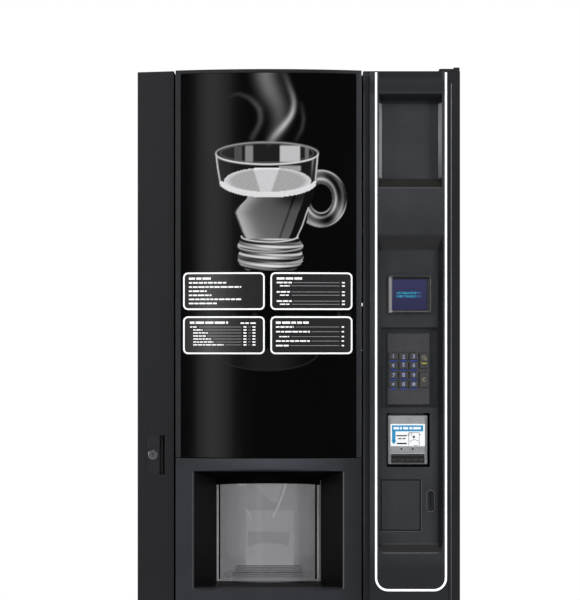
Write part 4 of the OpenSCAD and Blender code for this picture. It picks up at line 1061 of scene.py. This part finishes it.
for r0, r1, dx, dz in ((0.0030, 0.0042, -0.001, 0.0075), (0.0022, 0.0033, 0.003, 0.0040)):
    spin = np.linspace(0, 2 * math.pi, 25)[:-1]
    a = [[cup_mark.verts.new((mid_x + dx + r * math.cos(t), lo.y - y,
                              (lo.z + hi.z) / 2 + dz + r * math.sin(t))) for t in spin]
         for r, y in ((r0, 0.0), (r0, 0.00015), (r1, 0.00015), (r1, 0.0))]
    for p, q in zip(a, a[1:] + a[:1]):
        for k in range(24):
            cup_mark.faces.new((p[k], p[(k + 1) % 24], q[(k + 1) % 24], q[k]))
finish_mesh("select_mark", cup_mark, gold_ink, "key_select", smooth=False)
tick = bmesh.new()
rail(tick, [(mid_x - 0.0062, lo.y - 0.00005, (lo.z + hi.z) / 2 - 0.0040),
            (mid_x - 0.0036, lo.y - 0.00005, (lo.z + hi.z) / 2 - 0.0064),
            (mid_x + 0.0066, lo.y - 0.00005, (lo.z + hi.z) / 2 - 0.0066)], 0.0010, 8)
finish_mesh("select_tick", tick, yellow_ink, "key_select")


# ---------------------------------------------------------------- note validator, coin slot and change cup
# The note acceptor has a brushed steel face with a printed label and a toothed mouth; the coin slot
# and the blanked card reader are part of the moulding, and the change cup has a hanging flap.
face_steel = sheet_steel("validator_steel", (0.56, 0.57, 0.58), 0.34, (4, 60, 60))
fixed(face_steel, "Metallic", 0.4)
paint("bill_validator", face_steel, 0.0006)
note_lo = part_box("bill_validator")[0]
label_y = note_lo.y + 0.0050
label_white = moulded("label_white", (0.86, 0.87, 0.88), 0.4, mottle=0.04)
# Painted light: the white label glows a little
self_lit(label_white, 0.35)
label_cyan = moulded("label_cyan", (0.03, 0.38, 0.70), 0.4, mottle=0.06)
label_black = moulded("label_black", (0.012, 0.012, 0.013), 0.5)
mouth_black = moulded("mouth_black", (0.003, 0.003, 0.003), 0.6)


def flat_piece(name, boxes, y, thick, material):
    """Thin printed or stuck-on rectangles on a front face, from (x0, x1, z0, z1) in millimetres."""
    shape = bmesh.new()
    for x0, x1, z0, z1 in boxes:
        block(shape, (x0 * mm, y - thick, z0 * mm), (x1 * mm, y, z1 * mm))
    return finish_mesh(name, shape, material, "door", smooth=False)


flat_piece("label_sheet", [(211.5, 290.5, 966, 1017)], label_y, 0.0004, label_white)
flat_piece("label_bar", [(214.5, 286.7, 1000, 1014), (215, 223, 978, 1000.5)], label_y, 0.0006, label_cyan)
arrow = bmesh.new()
tip = [(212.8, 979), (225.2, 979), (219, 970)]
closed_prism(arrow, [(x * mm, label_y - 0.0006, z * mm) for x, z in tip],
             [(x * mm, label_y, z * mm) for x, z in tip])
finish_mesh("label_arrow", arrow, label_cyan, "door", smooth=False)
flat_piece("label_heading", [(218.5, 231, 1004.6, 1010), (233, 238, 1004.6, 1010),
                             (241, 252, 1004.6, 1010), (255, 262, 1004.6, 1010),
                             (264, 281, 1004.6, 1010)], label_y, 0.0008, label_white)
flat_piece("label_notes", [(225, 249, 988.6, 991.4), (229, 237, 982, 984.6), (239, 246, 982, 984.6),
                           (226, 249, 970.5, 973.8),
                           (253, 254, 967, 997.6), (277, 278, 967, 997.6), (253, 278, 996.6,
                                   997.6), (262.5, 267.5, 984.6, 990),
                           (249.5, 253, 991, 992.2), (278, 282, 992,
                                                      993.2)], label_y, 0.0006, label_black)
swirl = bmesh.new()
for cx, cz, rx, rz, start, end in ((257, 994, 4.0, 2.6, 0, 360), (266, 974, 9.5, 7.0, 20, 175),
                                   (270, 970.5, 5.0, 3.4, 180, 330)):
    bend = [((cx + rx * math.cos(math.radians(a))) * mm, label_y - 0.0002,
             (cz + rz * math.sin(math.radians(a))) * mm)
            for a in np.linspace(start, end, 17)]
    rail(swirl, bend, 0.0006, 6)
finish_mesh("label_swirls", swirl, label_black, "door")
# Painted highlight: the side edges of the face are a lighter steel than the face
flat_piece("face_edges", [(206.3, 211, 926, 1034.5), (291, 295.7, 926, 1034.5)], note_lo.y + 0.0052, 0.0012,
           sheet_steel("face_edge", (0.75, 0.75, 0.76), 0.3, (60, 60, 1)))
snout_y = note_lo.y
flat_piece("mouth_plate", [(212.6, 289.4, 926.6, 948.4)], snout_y + 0.0004, 0.0010, mouth_black)
teeth = bmesh.new()
for low, high in ((214, 226), (229, 243), (246, 258), (261, 274), (277, 287.5)):
    arch = [(x * mm, snout_y - 0.0006, (935.5 + 1.3 * math.cos((x - low) / (high - low) * 2 * math.pi))
             * mm) for x in np.linspace(low, high, 13)]
    rail(teeth, arch, 0.0007, 6)
rail(teeth, [(x * mm, snout_y - 0.0006, 0.9296) for x in (214, 250, 288)], 0.0005, 6)
rail(teeth, [(x * mm, snout_y - 0.0006, 0.9450) for x in (214, 250, 288)], 0.0004, 6)
finish_mesh("mouth_teeth", teeth, moulded("teeth_grey", (0.10, 0.10, 0.105), 0.4), "door")
marks = bmesh.new()
for x in (236.5, 262.5):
    turned(marks, [(0.0022, 0), (0.0022, 0.0003), (0.0012, 0.0005)], (x * mm, label_y - 0.0001, 0.9596),
           "-Y", 16)
finish_mesh("face_lights", marks, label_black, "door")

slot_lip = bmesh.new()
for radius, y in ((0.0092, -0.3474),):
    path = [(0.3042 + radius * math.cos(math.radians(a)), y,
             0.8550 + radius * math.sin(math.radians(a))) for a in range(0, 181, 15)]
    path += [(0.3042 + radius * math.cos(math.radians(a)), y,
              0.8240 + radius * math.sin(math.radians(a))) for a in range(180, 361, 15)]
    rail(slot_lip, path + path[:1], 0.0007, 8)
finish_mesh("coin_slot_lip", slot_lip, moulded("lip_grey", (0.15, 0.15, 0.16), 0.3), "door")
# Painted shade: a black plate sits inside the coin slot
flat_piece("coin_slot_gap", [(302.0, 306.4, 824.5, 854.5)], -0.3411, 0.0004, mouth_black)
paint("change_flap", moulded("flap_black", (0.020, 0.021, 0.023), 0.35), 0.0006)
coin_black = moulded("coin_black", (0.022, 0.023, 0.025), 0.45)
paint("coin_mech", coin_black, 0.001)
paint("coin_box", zinc, 0.0008)

# ---------------------------------------------------------------- lock and latch
# A round cam lock stands in a black escutcheon beside the finger pocket. Behind the pillar it drives a
# plated bar with three hooks.
lock_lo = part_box("lock_cylinder")[0]
chrome = sheet_steel("lock_chrome", (0.26, 0.26, 0.27), 0.30, (5, 5, 5))
paint("lock_cylinder", chrome, 0.0006)
paint("latch_bar", sheet_steel("latch_zinc", (0.56, 0.53, 0.42), 0.34, (30, 30, 1)), 0.0005)
lock_x = -0.3347
lock_z = 0.9465
slant = (0.3650 - 0.3480) / (0.3700 - 0.2855)


def pillar_y(x):
    """Front face of the left pillar at x; it leans back towards the outer edge."""
    return -0.3650 + slant * (-0.2855 - x)


plate = bmesh.new()
x0, x1 = -0.3485, -0.3190
ring_angles = np.linspace(0, 2 * math.pi, 48, endpoint=False)
hole_r = 0.0106
rings = []
for y_off in (0.0002, -0.0022):
    circle = [(lock_x + hole_r * math.cos(a), lock_z + hole_r * math.sin(a)) for a in ring_angles]
    hole = [plate.verts.new((x, pillar_y(x) + y_off, z)) for x, z in circle]
    edge = []
    for a in ring_angles:
        c, s = math.cos(a), math.sin(a)
        reach = min(((x1 - lock_x) if c > 0 else (lock_x - x0)) / max(abs(c), 1e-6),
                    0.0450 / max(abs(s), 1e-6))
        x = lock_x + reach * c
        edge.append(plate.verts.new((x, pillar_y(x) + y_off, lock_z + reach * s)))
    rings.append((hole, edge))
for k in range(48):
    j = (k + 1) % 48
    (h0, e0), (h1, e1) = rings
    plate.faces.new((h1[k], h1[j], e1[j], e1[k]))
    plate.faces.new((e0[k], e0[j], h0[j], h0[k]))
    plate.faces.new((e1[k], e1[j], e0[j], e0[k]))
    plate.faces.new((h0[k], h0[j], h1[j], h1[k]))
escutcheon = moulded("escutcheon_black", (0.017, 0.017, 0.019), 0.34)
finish_mesh("lock_escutcheon", plate, escutcheon, "door", bevel=0.0007)
pocket_strip = bmesh.new()
block(pocket_strip, (-0.3172, -0.3450, 0.9020), (-0.3120, -0.3330, 0.9910))
finish_mesh("pocket_liner", pocket_strip, moulded("liner_grey", (0.060, 0.060, 0.064), 0.3), "door",
            bevel=0.0006)
collar = bmesh.new()
turned(collar, [(0.0098, 0), (0.0104, 0.0010), (0.0104, 0.0022), (0.0088, 0.0030), (0.0080, 0.0030)],
       (lock_x, lock_lo.y + 0.0004, lock_z), "-Y", 40)
bmesh.ops.delete(collar, geom=[f for f in collar.faces if len(f.verts) > 4], context="FACES")
finish_mesh("lock_collar", collar, chrome, "lock_cylinder")
# Painted shade: a black block marks the keyway slot
keyway = bmesh.new()
block(keyway, (lock_x - 0.0009, lock_lo.y - 0.0003, lock_z - 0.0040),
      (lock_x + 0.0009, lock_lo.y + 0.0006, lock_z + 0.0040))
finish_mesh("lock_keyway", keyway, mouth_black, "lock_cylinder", smooth=False)


# ---------------------------------------------------------------- water, brewing and mixing parts
# Behind the door: an insulated boiler tank, a brewer with a steel piston, two whip bowls with blue
# impellers, gear motors, the nozzle block with silicone hoses, and the inlet fittings at the back.
shell_wrap = Finish("tank_jacket", (0.30, 0.31, 0.32), 0.5)
cell = shell_wrap.node("ShaderNodeTexVoronoi", {}, {"Vector": shell_wrap.place, "Scale": 70})
smudge = shell_wrap.noise(8, 4)
shell_wrap.set("Base Color", shell_wrap.blend(smudge * 0.5 + cell * 0.5, (0.24, 0.25, 0.26, 1),
                                              (0.42, 0.43, 0.44, 1)))
shell_wrap.set("Roughness", cell * 0.2 + 0.38)
shell_wrap.bump(cell, 0.0006)
paint("water_tank", shell_wrap.material, 0.003)
paint("brewer_housing", moulded("brewer_grey", (0.055, 0.060, 0.068), 0.4), 0.001)
paint("brewer_piston", sheet_steel("piston_steel", (0.60, 0.61, 0.62), 0.2, (2, 2, 40)), 0.0008)
paint("mixing_bowls", moulded("bowl_ivory", (0.62, 0.60, 0.54), 0.35, mottle=0.06), 0.0008)
impeller_blue = moulded("impeller_blue", (0.03, 0.14, 0.42), 0.3, mottle=0.08)
for name in ("whipper_1", "whipper_2"):
    paint(name, impeller_blue, 0.0005)
paint("drive_motors", moulded("motor_black", (0.035, 0.036, 0.040), 0.4), 0.001)
paint("inlet_fittings", sheet_steel("fitting_brass", (0.50, 0.36, 0.13), 0.28, (20, 20, 20)), 0.0006)
paint("dispense_nozzles", moulded("silicone_hose", (0.48, 0.47, 0.44), 0.5, mottle=0.08), 0.0008)

jacket_bands = bmesh.new()
tank_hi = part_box("water_tank")[1]
lid_z = tank_hi.z - 0.076
lid_top = tank_hi.z - 0.0602
for z in (lid_z - 0.06, lid_z - 0.16, lid_z - 0.26):
    outer = [(0.0588, 0.1588), (0.3312, 0.1588), (0.3312, 0.3612), (0.0588, 0.3612)]
    for (ax, ay), (bx, by) in zip(outer, outer[1:] + outer[:1]):
        rail(jacket_bands, [(ax, ay, z), ((ax + bx) / 2, (ay + by) / 2, z), (bx, by, z)], 0.0011, 6)
finish_mesh("tank_bands", jacket_bands, zinc, "cabinet")
heads = bmesh.new()
for x in (0.110, 0.280):
    turned(heads, [(0.0130, 0), (0.0130, 0.006), (0.0115, 0.0075), (0.0085, 0.0075)],
           (x, 0.300, lid_top - 0.0002), "Z", 6)
for x in (0.160, 0.200, 0.240):
    turned(heads, [(0.009, 0), (0.009, 0.004), (0.0055, 0.006), (0.0055, 0.016), (0.004, 0.018)],
           (x, 0.230, lid_top - 0.0002), "Z", 16)
finish_mesh("tank_fittings", heads, sheet_steel("boss_brass", (0.50, 0.38, 0.15), 0.3, (20, 20, 20)),
            "cabinet")

can_pitch = [66, 184, 302]
motor_caps = bmesh.new()
cap_ribs = bmesh.new()
for x in can_pitch:
    turned(motor_caps, [(0.0186, 0), (0.0186, 0.003), (0.0165, 0.0045), (0.005, 0.0045)],
           (x * mm, 0.2985, 1.325), "Y", 28)
for x in can_pitch[1:]:
    for k in range(5):
        turned(cap_ribs, [(0.0206, 0), (0.0206, 0.0022), (0.0195, 0.003)],
               (x * mm, -0.092 + k * 0.009, 1.212), "Y", 28)
finish_mesh("auger_motor_caps", motor_caps, zinc, "cabinet")
finish_mesh("whip_motor_ribs", cap_ribs, zinc, "cabinet")


# ---------------------------------------------------------------- powder canisters and augers
# Three translucent canisters stand on the shelf under a hinged dust cover. Each has a pull grip, a blank
# colour label and a level strip on its face, and a moulded helical auger that turns in its floor.
canister_milk = moulded("canister_milk", (0.58, 0.56, 0.50), 0.38, mottle=0.07)
auger_white = moulded("auger_white", (0.66, 0.65, 0.61), 0.35, mottle=0.05)
grip_grey = moulded("grip_grey", (0.10, 0.11, 0.12), 0.4)
level_tint = moulded("level_tint", (0.20, 0.19, 0.17), 0.2)
label_tints = [(0.23, 0.09, 0.03), (0.62, 0.46, 0.18), (0.10, 0.22, 0.36)]
can_face = -0.1200
for n, x in enumerate(can_pitch):
    name = f"canister_{n + 1}"
    cx = x * mm
    paint(name, canister_milk, 0.0012)
    grip = bmesh.new()
    bow = [(cx + 0.026 * math.cos(a), can_face - 0.0100 * math.sin(a),
            1.4550) for a in np.linspace(math.pi, 0, 17)]
    rail(grip, bow, 0.0034)
    for side in (-0.026, 0.026):
        block(grip, (cx + side - 0.007, can_face - 0.0016, 1.4465),
              (cx + side + 0.007, can_face + 0.0004, 1.4635))
    finish_mesh(f"{name}_grip", grip, grip_grey, name)
    card = bmesh.new()
    block(card, (cx - 0.034, can_face - 0.0006, 1.4850), (cx + 0.034, can_face + 0.0002, 1.5300))
    finish_mesh(f"{name}_label", card, moulded(f"label_{n + 1}", label_tints[n], 0.4), name,
                bevel=0.0003)
    strip = bmesh.new()
    block(strip, (cx + 0.041, can_face - 0.0008, 1.3650), (cx + 0.047, can_face + 0.0002, 1.5850))
    for k in range(11):
        block(strip, (cx + 0.0365, can_face - 0.0006, 1.3700 + k * 0.021),
              (cx + 0.041, can_face + 0.0002, 1.3712 + k * 0.021))
    finish_mesh(f"{name}_level", strip, level_tint, name)
    screw = bmesh.new()
    start_y, end_y, pitch, axis_z = -0.1300, 0.1720, 0.0200, 1.3450
    steps = int((end_y - start_y) / pitch * 24)
    last = None
    for k in range(steps + 1):
        a = 2 * math.pi * k / 24
        y = start_y + pitch * k / 24
        c, s = math.cos(a), math.sin(a)
        now = [screw.verts.new((cx + r * c, y + dy, axis_z + r * s)) for r, dy in
               ((0.0036, -0.0014), (0.0138, -0.0006), (0.0138, 0.0006), (0.0036, 0.0014))]
        if last:
            for i in range(4):
                screw.faces.new((last[i], last[(i + 1) % 4], now[(i + 1) % 4], now[i]))
        else:
            screw.faces.new(now)
        last = now
    screw.faces.new(last[::-1])
    turned(screw, [(0.0034, 0), (0.0040, 0.0006), (0.0040, 0.3394), (0.0034, 0.3400)],
           (cx, -0.1380, axis_z), "Y", 20)
    helix = finish_mesh(f"auger_{n + 1}_helix", screw, auger_white, f"auger_{n + 1}")
    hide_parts(f"auger_{n + 1}")
paint("canister_cover", moulded("cover_smoke", (0.075, 0.080, 0.086), 0.3), 0.001)
cover_lo, cover_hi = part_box("canister_cover")
tab = bmesh.new()
block(tab, (0.150, cover_lo.y - 0.0002, cover_lo.z - 0.0002),
      (0.218, cover_lo.y + 0.012, cover_lo.z + 0.0018))
for k in range(5):
    block(tab, (0.158 + k * 0.0125, cover_lo.y + 0.016, cover_hi.z - 0.0042),
          (0.160 + k * 0.0125, cover_lo.y + 0.060, cover_hi.z - 0.0028))
finish_mesh("cover_ribs", tab, grip_grey, "canister_cover", bevel=0.0003)


# ---------------------------------------------------------------- cup turret, bucket and coin box
# The cup magazine is a clear-anodised hub with four wings, the waste bucket is a moulded pail with a
# bail, and the coin box is a plated steel tray behind the change cup.
paint("cup_turret", moulded("turret_grey", (0.40, 0.41, 0.42), 0.3, mottle=0.06), 0.0006)
paint("waste_bucket", moulded("bucket_grey", (0.11, 0.12, 0.13), 0.45), 0.002)
bucket_lo, bucket_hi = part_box("waste_bucket")
bail = bmesh.new()
mid_x = (bucket_lo.x + bucket_hi.x) / 2
lip_z = bucket_hi.z + 0.0030
rail(bail, [(bucket_lo.x + 0.010, bucket_lo.y + 0.008, lip_z), (mid_x - 0.09, bucket_lo.y + 0.004, lip_z),
            (mid_x + 0.09, bucket_lo.y + 0.004, lip_z), (bucket_hi.x - 0.010, bucket_lo.y + 0.008,
                                                         lip_z)], 0.0030)
rail(bail, [(mid_x - 0.055, bucket_lo.y + 0.004, lip_z), (mid_x + 0.055, bucket_lo.y + 0.004, lip_z)],
     0.0055, 14)
finish_mesh("bucket_bail", bail, zinc, "waste_bucket")
ribs = bmesh.new()
for x in np.linspace(bucket_lo.x + 0.04, bucket_hi.x - 0.04, 9):
    block(ribs, (x - 0.0012, bucket_lo.y + 0.0044, bucket_lo.z + 0.010),
          (x + 0.0012, bucket_lo.y + 0.0064, bucket_hi.z - 0.012))
finish_mesh("bucket_ribs", ribs, grip_grey, "waste_bucket", bevel=0.0004)
coins_lo, coins_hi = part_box("coin_box")
pull = bmesh.new()
mid_x = (coins_lo.x + coins_hi.x) / 2
rail(pull, [(mid_x + dx, coins_hi.y + dy, coins_hi.z - 0.030 - drop) for dx, dy, drop in
            ((-0.030, -0.0006, 0), (-0.028, 0.006, 0.001), (0, 0.0075, 0.0015), (0.028, 0.006, 0.001),
             (0.030, -0.0006, 0))], 0.0022)
finish_mesh("coin_box_pull", pull, bright_screw, "coin_box")


# ---------------------------------------------------------------- control box, feet and rear fittings
# The control box is plated sheet with a screwed lid and pressed louvres. The machine stands on four
# zinc feet with rubber pads; the water inlet has a brass thread and the mains inlet three plain blades.
paint("control_box", sheet_steel("control_plate", (0.42, 0.43, 0.44), 0.4, (2, 40, 2)), 0.0006)
lid_lo, lid_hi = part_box("control_box")
face_x = lid_hi.x
screw_heads("control_screws", [(face_x - 0.0001, y, z) for y in (lid_lo.y + 0.012, lid_hi.y - 0.012)
                               for z in np.linspace(lid_lo.z + 0.02, lid_hi.z - 0.02,
                                                    5)], "X", 0.0042, "cabinet",
            bright_screw)
louvres = bmesh.new()
for k in range(9):
    z = lid_hi.z - 0.070 - k * 0.011
    block(louvres, (face_x - 0.0003, lid_lo.y + 0.060, z), (face_x + 0.0022, lid_hi.y - 0.060, z + 0.0040))
finish_mesh("control_louvres", louvres, zinc, "cabinet", bevel=0.0012)
lamps = bmesh.new()
for k in range(3):
    turned(lamps, [(0.0030, 0), (0.0030, 0.0012), (0.0018, 0.0026)],
           (face_x - 0.0001, lid_lo.y + 0.080 + k * 0.018, lid_lo.z + 0.090), "X", 14)
finish_mesh("control_lamps", lamps, moulded("lamp_green", (0.05, 0.42, 0.14), 0.2), "cabinet")

paint("levelling_feet", sheet_steel("foot_zinc", (0.42, 0.43, 0.44), 0.35, (20, 20, 4)), 0.0008)
pads = bmesh.new()
threads = bmesh.new()
for sx in (-1, 1):
    for sy in (-1, 1):
        px = sx * 0.310
        py = sy * 0.265 + 0.050
        turned(pads, [(0.0240, 0.0002), (0.0278, 0.0008), (0.0282, 0.0040), (0.0272, 0.0070),
                      (0.0240, 0.0072)], (px, py, 0), "Z", 40)
        for k in range(18):
            z = 0.0225 + k * 0.0036
            turned(threads, [(0.0078, 0), (0.0086, 0.0009), (0.0078, 0.0018)], (px, py, z), "Z", 20)
finish_mesh("foot_pads", pads, moulded("pad_rubber", (0.012, 0.012, 0.012), 0.8), "cabinet")
finish_mesh("foot_threads", threads, zinc, "cabinet")
threads = bmesh.new()
for k in range(6):
    turned(threads, [(0.0102, 0), (0.0106, 0.0008), (0.0102, 0.0016)],
           (-0.250, 0.3890 + k * 0.0017, 0.220), "Y", 28)
turned(threads, [(0.0150, 0), (0.0150, 0.0016)], (-0.250, 0.3882, 0.220), "Y", 6)
finish_mesh("inlet_thread", threads, sheet_steel("thread_brass", (0.46, 0.34, 0.13), 0.25, (20, 20, 20)),
            "cabinet")
blades = bmesh.new()
for x, z, wide, tall in ((-0.130, 0.2240, 0.0020, 0.0036), (-0.1345, 0.2170, 0.0020, 0.0036),
                         (-0.1255, 0.2170, 0.0020, 0.0036)):
    block(blades, (x - wide / 2, 0.3740, z - tall / 2), (x + wide / 2, 0.3880, z + tall / 2))
finish_mesh("inlet_blades", blades, bright_screw, "cabinet", bevel=0.0002)

# Door-back fittings: rivets along the frame channels
rivets = [(x, -0.2850, z) for x in (-0.3045, 0.130) for z in np.linspace(0.20, 1.74, 12)]
screw_heads("frame_rivets", rivets, "Y", 0.0036, "door", bright_screw)


# ---------------------------------------------------------------- floor
# The machine stands on a plain pale studio floor.
floor_shape = bmesh.new()
bmesh.ops.create_grid(floor_shape, x_segments=8, y_segments=8, size=3.4)
floor_mesh = bpy.data.meshes.new("floor")
floor_shape.to_mesh(floor_mesh)
floor_shape.free()
floor = bpy.data.objects.new("floor", floor_mesh)
floor_finish = Finish("floor_matt", (0.86, 0.86, 0.86), 0.6)
floor_finish.set("Roughness", floor_finish.noise(2, 3).between(0.3, 0.7, 0.5, 0.7))
floor_mesh.materials.append(floor_finish.material)
scene.collection.objects.link(floor)
